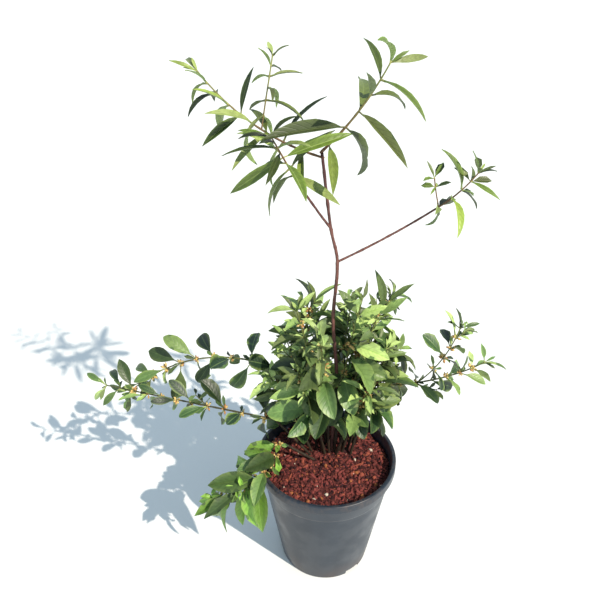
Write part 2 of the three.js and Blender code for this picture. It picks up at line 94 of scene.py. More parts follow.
# Leaf kinds, as in the solids. Two values are for the lowest and the topmost leaves of a stem.
KINDS = {
    "lance": {
        "petiole": 0.07, "rise": 0.85, "fall": [1.05, 1.05], "breadth": [0.175, 0.175],
        "tilt": [84, 36], "sag": 0.38, "droop": 38, "twist": 60, "young": 0.55,
    },
    "oval": {
        "petiole": 0.12, "rise": 0.95, "fall": [0.85, 1.2], "breadth": [0.54, 0.28],
        "tilt": [76, 34], "sag": 0.3, "droop": 44, "twist": 100, "young": 0.6,
    },
    "pointed": {
        "petiole": 0.1, "rise": 0.9, "fall": [1.05, 1.2], "breadth": [0.38, 0.26],
        "tilt": [76, 34], "sag": 0.3, "droop": 44, "twist": 100, "young": 0.7,
    },
    "spoon": {
        "petiole": 0.2, "rise": 1.15, "fall": [0.6, 1.15], "breadth": [0.52, 0.26],
        "tilt": [76, 38], "sag": 0.15, "droop": 36, "twist": 80, "young": 0.8,
    },
}

# Growth rule: steps along a stem, clear room round leaves, stems and pot, and tries at placing a leaf
STEPS = 12
LEAF_CLEAR = 2.2
TRUNK_CLEAR = 3.7
STEM_CLEAR = 2.2
GROUND_CLEAR = 2
SOIL_CLEAR = 2
WALL_CLEAR = 1
RIM_CLEAR = {"above": 3, "inside": 7, "outside": 4}
ROOM_CELL = 8
ROOM_STEP = 3
HELD_STEP = 2
HOPS = [0, 30, -30, 60, -60, 90]
SAMPLE_ROWS = [0.25, 0.4, 0.55, 0.7, 0.85]
SAMPLE_COLUMNS = [-1, -0.5, 0, 0.5, 1]
UP = (0.0, 0.0, 1.0)
LIGHT = (0.22, -0.52, 0.82)
LIGHT_LEAN = 0.35
EAST = (1.0, 0.0, 0.0)
UPRIGHT = 1e-4

# Pairs start past the bare root of a stem and crowd towards its tip. Leaves are largest at its prime.
BARE = 0.06
PAIR_CROWDING = 0.85
PRIME = 0.35
LOWEST_SIZE = 0.85
TIP_SAG = 0.5

# Throws for one leaf: spread of its angles in degrees, then ranges of its length, breadth and bend
TURN_SPREAD = 50
FACING_SPREAD = 40
TILT_SPREAD = 36
LENGTHS = [0.82, 1.18]
BREADTHS = [0.85, 1.15]
BENDS = [0.3, 1.7]
LEAST_BEND = 2

# Crown shoots, by the height at which each leaves the trunk. A run sets out by its heading and climb,
# and turns sideways and up by its swing and bow, all in degrees.
CROWN = [
    {
        "name": "leader", "from": 409, "seed": 65385, "girth": 1.1,
        "spray": {"heading": -20, "climb": 45, "length": 80, "swing": -7, "bow": 18,
                  "bare": 0.1, "pairs": 6, "leaf": 65, "roll": 125},
    },
    {
        "name": "left", "from": 348, "seed": 69955,
        "bough": {"heading": 203, "climb": 54, "length": 56, "swing": 6, "bow": 4},
        "spray": {"heading": 213, "climb": 60, "length": 36,
                  "bare": 0.05, "pairs": 8, "leaf": 49, "roll": 10},
    },
    {
        "name": "long_left", "from": 404.5, "seed": 80290, "girth": 1.0,
        "spray": {"heading": 175, "climb": 15, "length": 108, "swing": -6, "bow": 36,
                  "bare": 0.14, "pairs": 9, "leaf": 47, "roll": 30},
        "twig": {"at": 0.45, "heading": 57, "climb": 74, "length": 52, "swing": 16, "bow": -14,
                 "bare": 0.2, "pairs": 6, "leaf": 32, "roll": 90},
    },
    {
        "name": "right", "from": 319, "seed": 62968,
        "bough": {"heading": 10, "climb": 23, "length": 88, "bow": 8},
        "spray": {"heading": 0, "climb": 34, "length": 42, "bow": 22,
                  "bare": 0.05, "pairs": 5, "leaf": 38, "roll": 75},
        "twig": {"at": 0.06, "heading": 165, "climb": 72, "length": 24, "bow": 8,
                 "bare": 0.7, "pairs": 2, "leaf": 13, "roll": 0},
    },
]

# Arms of the low growth, each from its own bearing on a ring round the foot
ARMS = [
    {
        "kind": "pointed", "foot": 40, "seed": 5222,
        "bough": {"heading": 45, "climb": 87, "length": 87},
        "spray": {"heading": 21, "climb": 80, "length": 78, "swing": 28, "bow": -55,
                  "pairs": 10, "leaf": 43, "roll": 30},
    },
    {
        "kind": "pointed", "foot": 130, "seed": 118,
        "bough": {"heading": 176, "climb": 83, "length": 88},
        "spray": {"heading": 98, "climb": 80, "length": 61, "swing": -36, "bow": -26,
                  "pairs": 9, "leaf": 45, "roll": 20},
    },
    {
        "kind": "spoon", "foot": 165, "seed": 1522,
        "bough": {"heading": 167, "climb": 75, "length": 89},
        "spray": {"heading": 159, "climb": 17, "length": 165, "swing": 30, "bow": -60,
                  "pairs": 10, "leaf": 35, "roll": 130},
    },
    {
        "kind": "spoon", "foot": 195, "seed": 9759,
        "bough": {"heading": 194, "climb": 57, "length": 61},
        "spray": {"heading": 168, "climb": 4, "length": 160, "swing": 6, "bow": 6,
                  "pairs": 11, "leaf": 33, "roll": 80},
    },
    {
        "kind": "spoon", "foot": -15, "seed": 9935,
        "bough": {"heading": -8, "climb": 80, "length": 87},
        "spray": {"heading": 8, "climb": -8, "length": 104, "swing": -30, "bow": 54,
                  "pairs": 8, "leaf": 27, "roll": 10},
        "twig": {"at": 0.4, "heading": 4, "climb": 41, "length": 62, "swing": 40, "bow": 20,
                 "bare": 0.3, "pairs": 5, "leaf": 27, "roll": 0},
    },
    {
        "kind": "pointed", "foot": 216, "seed": 5431,
        "bough": {"heading": 189, "climb": 41, "length": 43},
        "spray": {"heading": 265, "climb": -19, "length": 95, "swing": -126, "bow": -21,
                  "bare": 0.03, "pairs": 13, "leaf": 41, "roll": 50},
    },
]

# Core of the low growth: like shoots, dealt round the foot by a turning angle. Two values are for the
# first and the last shoot, and vary is the range of throws for their lengths.
CORE = {
    "count": 16, "first": 280, "turn": 137.5, "ring": [8, 19], "climb": [88, 71], "rise": [77, 43],
    "length": [101, 59], "vary": [0.9, 1.1], "lean": 4, "bow": -5, "drop": 0.3, "front": 0.8,
    "pairs": 7, "leaf": 39, "roll": 45, "seed": 641, "clear": 3.5, "shift": 8, "tries": 12,
}


# Vectors, as plain threes of numbers
def add(a, b, k=1.0):
    return (a[0] + k * b[0], a[1] + k * b[1], a[2] + k * b[2])


def sub(a, b):
    return add(a, b, -1.0)


def times(a, k):
    return (a[0] * k, a[1] * k, a[2] * k)


def dot(a, b):
    return a[0] * b[0] + a[1] * b[1] + a[2] * b[2]


def cross(a, b):
    return (a[1] * b[2] - a[2] * b[1], a[2] * b[0] - a[0] * b[2], a[0] * b[1] - a[1] * b[0])


def unit(a):
    return times(a, 1 / math.sqrt(dot(a, a)))


def mix(a, b, s):
    return a + (b - a) * s


# Dice: whole numbers that wrap round at a span, with the first throws of each one thrown away
DICE_SPAN = 2**32
DICE_START = 2654435761
DICE_STEP = 1664525
DICE_SHIFT = 1013904223
DICE_WASTE = 3


def dice(seed):
    """Repeatable throws between 0 and 1."""
    state = seed * DICE_START % DICE_SPAN

    def roll():
        nonlocal state
        state = (state * DICE_STEP + DICE_SHIFT) % DICE_SPAN
        return state / DICE_SPAN

    for _ in range(DICE_WASTE):
        roll()
    return roll


# Paths
def aim(heading, climb):
    h, c = math.radians(heading), math.radians(climb)
    return (math.cos(h) * math.cos(c), math.sin(h) * math.cos(c), math.sin(c))


def arc(root, run):
    path = [root]
    for i in range(STEPS):
        s = (i + 0.5) / STEPS
        way = aim(run["heading"] + run.get("swing", 0) * s, run["climb"] + run.get("bow", 0) * s)
        path.append(add(path[i], way, run["length"] / STEPS))
    return path


def along(path, s):
    last = len(path) - 1
    x = min(max(s, 0), 1) * last
    i = min(math.floor(x), last - 1)
    step = sub(path[i + 1], path[i])
    return add(path[i], step, x - i), unit(step)


def length_of(path):
    return sum(math.dist(a, b) for a, b in zip(path, path[1:]))


def beads(path, step):
    count = max(2, math.floor(length_of(path) / step))
    return [along(path, j / count)[0] for j in range(count + 1)]


def pair_place(run, i):
    """How far along its stem a pair of leaves stands, and its share of the way to the last pair."""
    share = i / (run["pairs"] - 1)
    return mix(run.get("bare", BARE), 1, share**PAIR_CROWDING), share


def trunk_axis():
    """The trunk's axis, a smooth curve through its leans."""
    last, count = len(TRUNK_LEAN) - 1, STEPS // 2

    def slope(i):
        a, b = TRUNK_LEAN[max(i - 1, 0)], TRUNK_LEAN[min(i + 1, last)]
        return (b[1] - a[1]) / (b[0] - a[0])

    path = []
    for i in range(last):
        (z0, x0), (z1, x1) = TRUNK_LEAN[i], TRUNK_LEAN[i + 1]
        for j in range(count):
            f = j / count
            x = x0 * (2 * f**3 - 3 * f**2 + 1) + x1 * (3 * f**2 - 2 * f**3)
            x += (z1 - z0) * (slope(i) * (f**3 - 2 * f**2 + f) + slope(i + 1) * (f**3 - f**2))
            path.append((x, TRUNK_DEPTH, mix(z0, z1, f)))
    path.append((TRUNK_LEAN[last][1], TRUNK_DEPTH, TRUNK_LEAN[last][0]))
    return path


def trunk_at(axis, height):
    i = 0
    while i < len(axis) - 2 and axis[i + 1][2] < height:
        i += 1
    share = (height - axis[i][2]) / (axis[i + 1][2] - axis[i][2])
    return add(axis[i], sub(axis[i + 1], axis[i]), share)


# Leaves of the growth rule
def width_share(leaf, t):
    u = (t - leaf["petiole"]) / (1 - leaf["petiole"])
    if u <= 0 or u >= 1:
        return 0.0
    peak = leaf["rise"] / (leaf["rise"] + leaf["fall"])
    return (u / peak) ** leaf["rise"] * ((1 - u) / (1 - peak)) ** leaf["fall"]


def leaf_spine(leaf, t):
    bend = math.radians(leaf["droop"])
    reach = leaf["length"] * math.sin(bend * t) / bend
    drop = leaf["length"] * (1 - math.cos(bend * t)) / bend
    return add(add(leaf["base"], leaf["way"], reach), leaf["face"], -drop)


def leaf_samples(leaf):
    found = [leaf_spine(leaf, 1)]
    for t in SAMPLE_ROWS:
        half = leaf["half"] * width_share(leaf, t)
        spot = leaf_spine(leaf, t)
        found += [add(spot, leaf["side"], v * half) for v in SAMPLE_COLUMNS]
    return found


def leaf_frame(t, roll, tilt, sag, twist):
    """The way a leaf points, its upper face and its side, on a stem that runs along t."""
    flat = cross(t, UP)
    e1 = unit(flat) if dot(flat, flat) > UPRIGHT else EAST
    e2 = cross(e1, t)
    out = add(times(e1, math.cos(roll)), e2, math.sin(roll))
    lifted = add(times(t, math.cos(tilt)), out, math.sin(tilt))
    way = unit(add(lifted, UP, -sag))
    lit = add(LIGHT, t, LIGHT_LEAN)
    plain = unit(add(lit, way, -dot(lit, way)))
    face = add(times(plain, math.cos(twist)), cross(way, plain), math.sin(twist))
    return {"way": way, "face": face, "side": cross(way, face)}


class Room:
    """Room already taken by stems and leaves, kept in a grid of cells."""

    near = list(itertools.product((-1, 0, 1), repeat=3))

    def __init__(self):
        self.cells = {}

    def put(self, p, reach):
        key = tuple(math.floor(c / ROOM_CELL) for c in p)
        self.cells.setdefault(key, []).append((p, reach))

    def free(self, p, ease):
        i, j, k = (math.floor(c / ROOM_CELL) for c in p)
        for di, dj, dk in self.near:
            for q, reach in self.cells.get((i + di, j + dj, k + dk), ()):
                if math.dist(p, q) < reach * ease:
                    return False
        return True


room = Room()


def before_the_trunk(p):
    """Whether a leaf here would hide the trunk where it shows above the low growth."""
    near = TRUNK_DEPTH - p[1]
    height = p[2] - TRUNK_SHOWN_SLOPE * near
    in_line = abs(p[0] - TRUNK_LEAN[1][1]) < TRUNK_SHOWN_HALF
    return near > 0 and in_line and TRUNK_SHOWN[0] < height < TRUNK_SHOWN[1]


def off_the_pot(p):
    """Whether a point is clear of the ground, the soil, the pot's rim and the space kept open."""
    if p[2] < GROUND_CLEAR or before_the_trunk(p):
        return False
    front = SOIL_LEVEL + FRONT_SLOPE * (FRONT_LINE - p[1])
    if abs(p[0] - FOOT[0]) < FRONT_HALF and p[2] < front:
        return False
    r = math.hypot(p[0], p[1])
    if p[2] < SOIL_LEVEL + SOIL_CLEAR and r < POT_RIM_RADIUS + WALL_CLEAR:
        return False
    by_rim = POT_RIM_RADIUS - RIM_CLEAR["inside"] < r < POT_RIM_RADIUS + RIM_CLEAR["outside"]
    return not (by_rim and p[2] < POT_HEIGHT + RIM_CLEAR["above"])


def has_room(p, ease=1.0):
    """Whether a point of a leaf is also clear of all that has grown before it."""
    return off_the_pot(p) and room.free(p, ease)


def leaves_on(path, run, kind_name, roll):
    """The leaves of one stem: opposite pairs, each pair turned a quarter on from the last."""
    kind = KINDS[kind_name]
    made = []
    for i in range(run["pairs"]):
        place, share = pair_place(run, i)
        base, t = along(path, place)
        turn = run["roll"] + 90 * i + (roll() - 0.5) * TURN_SPREAD
        if share > PRIME:
            vigour = 1 - (1 - kind["young"]) * (share - PRIME) / (1 - PRIME)
        else:
            vigour = mix(LOWEST_SIZE, 1, share / PRIME)
        group = []
        for side in (0, 180):
            swung, leant, longer, wider, bent, twisted = (roll() for _ in range(6))
            length = run["leaf"] * vigour * mix(*LENGTHS, longer)
            tilt = math.radians(mix(*kind["tilt"], share) + (leant - 0.5) * TILT_SPREAD)
            twist = math.radians((twisted - 0.5) * kind["twist"])
            sag = kind["sag"] * (1 - TIP_SAG * share)
            for hop in HOPS:
                facing = math.radians(turn + side + (swung - 0.5) * FACING_SPREAD + hop)
                leaf = {
                    "base": base, "length": length, "share": share,
                    "half": length * mix(*kind["breadth"], share) / 2 * mix(*BREADTHS, wider),
                    "droop": max(LEAST_BEND, kind["droop"] * mix(*BENDS, bent)),
                    "petiole": kind["petiole"], "rise": kind["rise"], "fall": mix(*kind["fall"], share),
                }
                leaf.update(leaf_frame(t, facing, tilt, sag, twist))
                spots = leaf_samples(leaf)
                if all(has_room(p) for p in spots):
                    group.append((leaf, spots))
                    break
        for leaf, spots in group:
            made.append(leaf)
            for p in spots:
                room.put(p, LEAF_CLEAR)
    return made


def foot_at(bearing, ring):
    b = math.radians(bearing)
    return (FOOT[0] + ring * math.cos(b), FOOT[1] + ring * math.sin(b), SOIL_LEVEL)


def stem_line(root, bough, spray):
    """Points along a bough and the leafy stem that follows it."""
    lower = arc(root, bough)
    return beads(lower, HELD_STEP) + beads(arc(lower[STEPS], spray), HELD_STEP)


def core_shoots(held):
    """The core shoots: each on its own bearing, shifted a little where it would near a stem."""
    roll = dice(CORE["seed"])
    made = []
    for i in range(CORE["count"]):
        share = (i + 0.5) / CORE["count"]
        ring, climb = mix(*CORE["ring"], share), mix(*CORE["climb"], share)
        rise = mix(*CORE["rise"], share)
        length = mix(*CORE["length"], share) * mix(*CORE["vary"], roll())
        for k in range(CORE["tries"]):
            shift = (k + 1) // 2 * CORE["shift"] * (1 if k % 2 else -1)
            heading = CORE["first"] + CORE["turn"] * i + shift
            back = math.sin(math.radians(heading))
            root = foot_at(heading, ring * (1 - CORE["front"] * max(0, -back)))
            bough = {"heading": heading, "climb": climb,
                     "length": rise * (1 - CORE["drop"] * ((1 + back) / 2))}
            spray = {"heading": heading, "climb": climb - CORE["lean"], "bow": CORE["bow"],
                     "length": length, "pairs": CORE["pairs"], "leaf": CORE["leaf"],
                     "roll": CORE["roll"] * i}
            line = stem_line(root, bough, spray)
            if all(math.dist(p, q) > CORE["clear"] for other in held for q in other for p in line):
                break
        held.append(line)
        seed = CORE["seed"] + i
        made.append({"kind": "oval", "root": root, "bough": bough, "spray": spray, "seed": seed})
    return made


# Lay out the plant: the trunk, each shoot's bough, stem and twig, then every main leaf
axis = trunk_axis()
arms = [dict(arm, root=foot_at(arm["foot"], ARM_RING)) for arm in ARMS]
held = [beads(axis, HELD_STEP)] + [stem_line(arm["root"], arm["bough"], arm["spray"]) for arm in arms]
shoots = [dict(shoot, low=False, kind="lance", root=trunk_at(axis, shoot["from"])) for shoot in CROWN]
for i, shoot in enumerate(arms + core_shoots(held)):
    shoots.append(dict(shoot, low=True, name=f"low_{i + 1}"))
for p in beads(axis, ROOM_STEP):
    room.put(p, TRUNK_CLEAR)
for shoot in shoots:
    start, paths = shoot["root"], []
    if "bough" in shoot:
        shoot["bough_path"] = arc(start, shoot["bough"])
        start = shoot["bough_path"][STEPS]
        paths.append(shoot["bough_path"])
    stem = arc(start, shoot["spray"])
    shoot["runs"] = [(stem, shoot["spray"])]
    if "twig" in shoot:
        fork = along(stem, shoot["twig"]["at"])[0]
        shoot["runs"].append((arc(fork, shoot["twig"]), shoot["twig"]))
    for path in paths + [path for path, run in shoot["runs"]]:
        for p in beads(path, ROOM_STEP):
            room.put(p, STEM_CLEAR)
for shoot in shoots:
    roll = dice(shoot["seed"])
    shoot["leaves"] = []
    for path, run in shoot["runs"]:
        shoot["leaves"] += leaves_on(path, run, shoot["kind"], roll)

# Finer growth: small leaves, short side twigs and flower heads in the leaf axils, and tip leaves
SMALL = {"breadths": [0.85, 1.25], "droop": [8, 48], "fall": 0.9, "sag": 0.1, "twist": 60}
SMALL_SPOTS = (0.6, 1)
TUFT_SIZE = [8, 17]
TUFT_TILT = [30, 80]
TUFT_TRIES = {"oval": 5, "pointed": 5, "spoon": 2}
TUFT_EASE = 0.5
TUFT_SEED = 61
TUFT_BREADTH = 0.3
TUFT_AGE = 0.3
CROWN_TUFTS = {"right": 2}
CROWN_TUFT_SIZE = [10, 19]
CROWN_TUFT_BREADTH = 0.44
SIDE_CHANCE = {"oval": 0.7, "pointed": 0.5, "spoon": 0.15}
SIDE_SPAN = [0.1, 0.9]
SIDE_LENGTH = [9, 19]
SIDE_TILT = [25, 60]
SIDE_STEPS = 4
SIDE_LIFT = 0.12
SIDE_PAIRS = 3
SIDE_LEAF = [8, 14]
SIDE_LEAF_TILT = [30, 75]
SIDE_BREADTH = 0.36
SIDE_AGE = 0.45
SIDE_RADIUS = [0.55, 0.35]
TIP_COUNT = 2
TIP_SIZE = [7, 12]
TIP_TILT = [10, 35]
TIP_AGE = 0.8
CROWN_TIP = 1.3
HEAD_SPAN = 0.9
HEAD_CHANCE = {"arm": 0.8, "core": 0.4}


def small_leaf(base, t, kind_name, breadth, length, tilt, facing, roll):
    kind = KINDS[kind_name]
    leaf = {
        "base": base, "length": length, "small": True,
        "half": length * breadth / 2 * mix(*SMALL["breadths"], roll()),
        "droop": mix(*SMALL["droop"], roll()),
        "petiole": kind["petiole"], "rise": kind["rise"], "fall": SMALL["fall"],
    }
    twist = math.radians(SMALL["twist"] * (roll() - 0.5))
    leaf.update(leaf_frame(t, math.radians(facing), math.radians(tilt), SMALL["sag"], twist))
    return leaf


def settle(leaf, age_and_shade, shoot):
    """Keep a small leaf where there is room for it."""
    leaf["share"] = age_and_shade
    spots = [leaf_spine(leaf, s) for s in SMALL_SPOTS]
    if all(has_room(p, TUFT_EASE) for p in spots):
        shoot["tufts"].append(leaf)
        for p in spots:
            room.put(p, LEAF_CLEAR)


def side_twig(base, t, share, shoot, roll):
    """A short twig with pairs of small leaves, where there is room for it."""
    tilt = math.radians(mix(*SIDE_TILT, roll()))
    way = leaf_frame(t, math.radians(360 * roll()), tilt, 0.0, 0.0)["way"]
    step = mix(*SIDE_LENGTH, roll()) / SIDE_STEPS
    path = [base]
    for i in range(SIDE_STEPS):
        path.append(add(path[i], unit(add(way, UP, SIDE_LIFT * i)), step))
    if not all(has_room(p, TUFT_EASE) for p in path[2:]):
        return
    shoot["sides"].append(path)
    for k in range(SIDE_PAIRS):
        spot, way = along(path, (k + 1) / SIDE_PAIRS)
        for facing in (90 * k, 90 * k + 180):
            size, tilt = mix(*SIDE_LEAF, roll()), mix(*SIDE_LEAF_TILT, roll())
            leaf = small_leaf(spot, way, "oval", SIDE_BREADTH, size, tilt, facing, roll)
            settle(leaf, mix(SIDE_AGE, 1, share), shoot)


heads = []
for number, shoot in enumerate(shoots):
    roll = dice(TUFT_SEED + number)
    shoot["tufts"], shoot["sides"] = [], []
    low = shoot["low"]
    tries = TUFT_TRIES[shoot["kind"]] if low else CROWN_TUFTS.get(shoot["name"], 0)
    sizes = TUFT_SIZE if low else CROWN_TUFT_SIZE
    shape = ("spoon", TUFT_BREADTH) if low else ("oval", CROWN_TUFT_BREADTH)
    blooms = HEAD_CHANCE["arm" if "foot" in shoot else "core"]
    for path, run in shoot["runs"]:
        for i in range(run["pairs"]):
            place, share = pair_place(run, i)
            base, t = along(path, place)
            if low and SIDE_SPAN[0] < share < SIDE_SPAN[1] and roll() < SIDE_CHANCE[shoot["kind"]]:
                side_twig(base, t, share, shoot, roll)
            for _ in range(tries):
                size, tilt = mix(*sizes, roll()), mix(*TUFT_TILT, roll())
                leaf = small_leaf(base, t, *shape, size, tilt, 360 * roll(), roll)
                settle(leaf, mix(TUFT_AGE, 1, share), shoot)
            if low and share < HEAD_SPAN and roll() < blooms:
                heads.append((base, t, roll()))
        tip, t = along(path, 1)
        breadth = KINDS[shoot["kind"]]["breadth"][1]
        for _ in range(TIP_COUNT):
            size = mix(*TIP_SIZE, roll()) * (1 if low else CROWN_TIP)
            tilt = mix(*TIP_TILT, roll())
            leaf = small_leaf(tip, t, shoot["kind"], breadth, size, tilt, 360 * roll(), roll)
            leaf["share"] = TIP_AGE
            shoot["tufts"].append(leaf)


# Meshes
def srgb(r, g, b):
    """A colour on the 0 to 255 scale of a screen, as scene-linear red, green, blue and alpha."""
    lin = [c / 255 / 12.92 if c <= 10 else ((c / 255 + 0.055) / 1.055) ** 2.4 for c in (r, g, b)]
    return (*lin, 1.0)


def placed(name, data):
    obj = bpy.data.objects.new(name, data)
    scene.collection.objects.link(obj)
    return obj


def finish_piece(name, mesh, slot, nodes, materials, sharp=None):
    """Place a piece, smooth but for creases sharper than the given angle."""
    obj = placed(name, mesh)
    for material in materials:
        mesh.materials.append(material)
    mesh.polygons.foreach_set("use_smooth", [True] * len(mesh.polygons))
    if sharp:
        mesh.set_sharp_from_angle(angle=math.radians(sharp))
    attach(obj, "root")
    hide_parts(*nodes)


def mesh_from(bm, name):
    bmesh.ops.recalc_face_normals(bm, faces=bm.faces)
    mesh = bpy.data.meshes.new(name)
    bm.to_mesh(mesh)
    bm.free()
    return mesh


class Sheaf:
    """Many small shapes gathered into one mesh, with material numbers, tones and leaf maps."""

    def __init__(self):
        self.verts, self.faces, self.marks, self.tones, self.maps = [], [], [], [], []

    def take(self, verts, faces, marks, tone, maps=None):
        start = len(self.verts)
        self.verts += verts
        self.faces += [[start + i for i in face] for face in faces]
        self.marks += marks
        self.tones += [tone] * len(verts)
        self.maps += maps or [(0.5, 0.0)] * len(verts)

    def mesh(self, name):
        mesh = bpy.data.meshes.new(name)
        mesh.from_pydata([times(v, MM) for v in self.verts], [], self.faces)
        mesh.polygons.foreach_set("material_index", self.marks)
        tone = mesh.attributes.new("tone", "FLOAT", "POINT")
        tone.data.foreach_set("value", self.tones)
        layer = mesh.uv_layers.new(name="leaf")
        corners = np.zeros(len(mesh.loops), np.int32)
        mesh.loops.foreach_get("vertex_index", corners)
        layer.data.foreach_set("uv", np.array(self.maps, np.float32)[corners].ravel())
        mesh.update()
        return mesh


# Leaf blades: rows from the stalk to the point, columns from margin to margin. A row up to 1 lies
# on the stalk, and from 1 to 2 on the blade.
BLADE_ROWS = [0.0, 1.0, 1.07, 1.18, 1.32, 1.48, 1.63, 1.77, 1.88, 1.95, 2.0]
SMALL_ROWS = [0.0, 1.0, 1.3, 1.65, 2.0]
BLADE_COLUMNS = [-1, -0.5, 0, 0.5, 1]
SMALL_COLUMNS = [-1, 0, 1]
STALK_RADIUS = 0.55
STALK_TAPER = 0.5
LEAF_THICK = 0.35
SMALL_SHARE = 0.6
FULL_TURN = 6.28
WAVES = [2, 4]
WAVE_START = 6.3
WAVE_LAG = 1.5
FORMS = {
    "lance": {"fold": [0.25, 0.8], "wave": 0.08, "curve": 0.08, "slim": 0.95},
    "spoon": {"fold": [0.1, 0.55], "wave": 0.18, "curve": 0.06, "slim": 0.92},
    "oval": {"fold": [0.3, 0.95], "wave": 0.28, "curve": 0.1, "slim": 0.86},
    "pointed": {"fold": [0.3, 0.95], "wave": 0.28, "curve": 0.12, "slim": 0.86},
}


def blade(leaf, form, roll):
    """Vertices, faces, surface marks (0 above, 1 below, 2 stalk) and map of one leaf."""
    small = leaf.get("small", False)
    rows, columns = (SMALL_ROWS, SMALL_COLUMNS) if small else (BLADE_ROWS, BLADE_COLUMNS)
    scale = SMALL_SHARE if small else 1
    last = len(rows) - 1
    fold = mix(*form["fold"], roll())
    wave = form["wave"] * roll()
    waves, phase = mix(*WAVES, roll()), WAVE_START * roll()
    curve = form["curve"] * (2 * roll() - 1) * leaf["length"]
    bend = math.radians(leaf["droop"])
    inner = range(1, len(columns) - 1)
    verts, maps, ring = [], [], []

    def keep(point, v, t):
        verts.append(point)
        maps.append((0.5 + 0.5 * v, t))
        return len(verts) - 1

    for row, level in enumerate(rows):
        t = level * leaf["petiole"] if level <= 1 else mix(leaf["petiole"], 1, level - 1)
        normal = add(times(leaf["way"], math.sin(bend * t)), leaf["face"], math.cos(bend * t))
        spot = add(leaf_spine(leaf, t), leaf["side"], curve * t * t)
        if row == last:
            ring.append([keep(spot, 0, 1)])
            continue
        stalk = STALK_RADIUS * scale * (1 - STALK_TAPER * t)
        wide = max(stalk, leaf["half"] * form["slim"] * width_share(leaf, t))
        open_share = min(1, (wide - stalk) / (2 * stalk))
        over, under = [], []
        for j, v in enumerate(columns):
            swing = waves * FULL_TURN * t + phase + (WAVE_LAG if v > 0 else 0)
            lift = fold * abs(v) * wide * open_share + wave * wide * v * abs(v) * math.sin(swing)
            top = add(add(spot, leaf["side"], v * wide), normal, lift)
            depth = stalk * (1 - open_share) * (1 - v * v)
            over.append(keep(add(top, normal, depth), v, t))
            if j in inner:
                thick = max(stalk * (2 - open_share) * (1 - abs(v)), LEAF_THICK * scale)
                under.append(keep(add(top, normal, -thick), v, t))
        ring.append(over + under[::-1])
    count = len(ring[0])
    split = len(columns) - 1
    faces, marks = [ring[0][::-1]], [2]
    for row in range(last):
        a, b = ring[row], ring[row + 1]
        for j in range(count):
            k = (j + 1) % count
            faces.append([a[k], b[k], b[j], a[j]] if len(b) > 1 else [a[k], b[0], a[j]])
            marks.append(2 if row == 0 else 0 if j < split else 1)
    return verts, faces, marks, maps


# Limbs: a ring is drawn along its path, with swellings at the nodes and the relief of the bark
LIMB_STEP = 2.4
LEAST_RINGS = 6
NODE_SWELL = 0.2
NODE_REACH = 1.8
GRAIN_SCALE = [700, 300]
KNOT_SCALE = [150, 120]
KNOT_SHARE = 0.8


def relief_at(place, scale, seed):
    across, up = scale
    return noise.noise(Vector((place.x * across, place.y * across, place.z * up + seed)))


def limb(bm, path, radius_at, sides, relief, nodes=(), seed=0):
    """Draw one limb along its path, closed at both ends."""
    length = length_of(path)
    rings = max(LEAST_RINGS, int(length / LIMB_STEP))
    verts = bmesh.ops.create_circle(bm, cap_ends=True, radius=1.0, segments=sides)["verts"]
    edges = list(verts[0].link_faces[0].edges)
    place = Matrix.Identity(4)
    side = Vector(along(path, 0)[1]).orthogonal()
    drawn = []
    for i in range(rings + 1):
        s = i / rings
        spot, way = (Vector(v) for v in along(path, s))
        side = (side - way * side.dot(way)).normalized()
        turn = Matrix((side, way.cross(side), way)).transposed().to_4x4()
        swell = 1 + sum(NODE_SWELL * math.exp(-(((s - n) * length / NODE_REACH) ** 2)) for n in nodes)
        size = radius_at(s) * swell * MM
        goal = Matrix.Translation(spot * MM) @ turn @ Matrix.Diagonal((size, size, size, 1))
        if i:
            grown = bmesh.ops.extrude_edge_only(bm, edges=edges)["geom"]
            verts = [g for g in grown if isinstance(g, bmesh.types.BMVert)]
            edges = [g for g in grown if isinstance(g, bmesh.types.BMEdge)
                     and all(v in verts for v in g.verts)]
        bmesh.ops.transform(bm, matrix=goal @ place.inverted(), verts=verts)
        place = goal
        drawn += [(v, spot * MM) for v in verts]
    bmesh.ops.edgeloop_fill(bm, edges=edges)
    for v, centre in drawn:
        grain = relief_at(v.co, GRAIN_SCALE, seed) + KNOT_SHARE * relief_at(v.co, KNOT_SCALE, seed)
        v.co += (v.co - centre) * relief * grain


def taper(start, end):
    """A limb's radius at each share of its length."""
    return lambda s: mix(start, end, s)


def sunk(path, depth):
    """The path with its root drawn back, into what the limb grows from."""
    return [add(path[0], unit(sub(path[1], path[0])), -depth)] + path


def node_marks(run):
    return [pair_place(run, i)[0] for i in range(run["pairs"])]


def trunk_radius(s):
    height = s * (TRUNK_LEAN[-1][0] - SOIL_LEVEL)
    return mix(*TRUNK_RADIUS, s) + FLARE * math.exp(-height / FLARE_HEIGHT)


# Materials
def put(tree, kind, sockets=None, **settings):
    made = tree.nodes.new(kind)
    for key, value in settings.items():
        setattr(made, key, value)
    for key, value in (sockets or {}).items():
        if isinstance(value, bpy.types.NodeSocket):
            tree.links.new(value, made.inputs[key])
        else:
            made.inputs[key].default_value = value
    return made


def sums(tree, operation, a, b=0.0):
    return put(tree, "ShaderNodeMath", {0: a, 1: b}, operation=operation).outputs[0]


def ramp(tree, value, low, high, start=0.0, end=1.0):
    sockets = {"Value": value, "From Min": low, "From Max": high, "To Min": start, "To Max": end}
    made = put(tree, "ShaderNodeMapRange", sockets, interpolation_type="SMOOTHSTEP")
    return made.outputs["Result"]


def blend(tree, share, a, b):
    return put(tree, "ShaderNodeMix", {0: share, 6: a, 7: b}, data_type="RGBA").outputs[2]


def tinted(tree, colour, mask, share, other):
    """The colour, turned towards the other one where the mask is."""
    return blend(tree, sums(tree, "MULTIPLY", mask, share), colour, other)


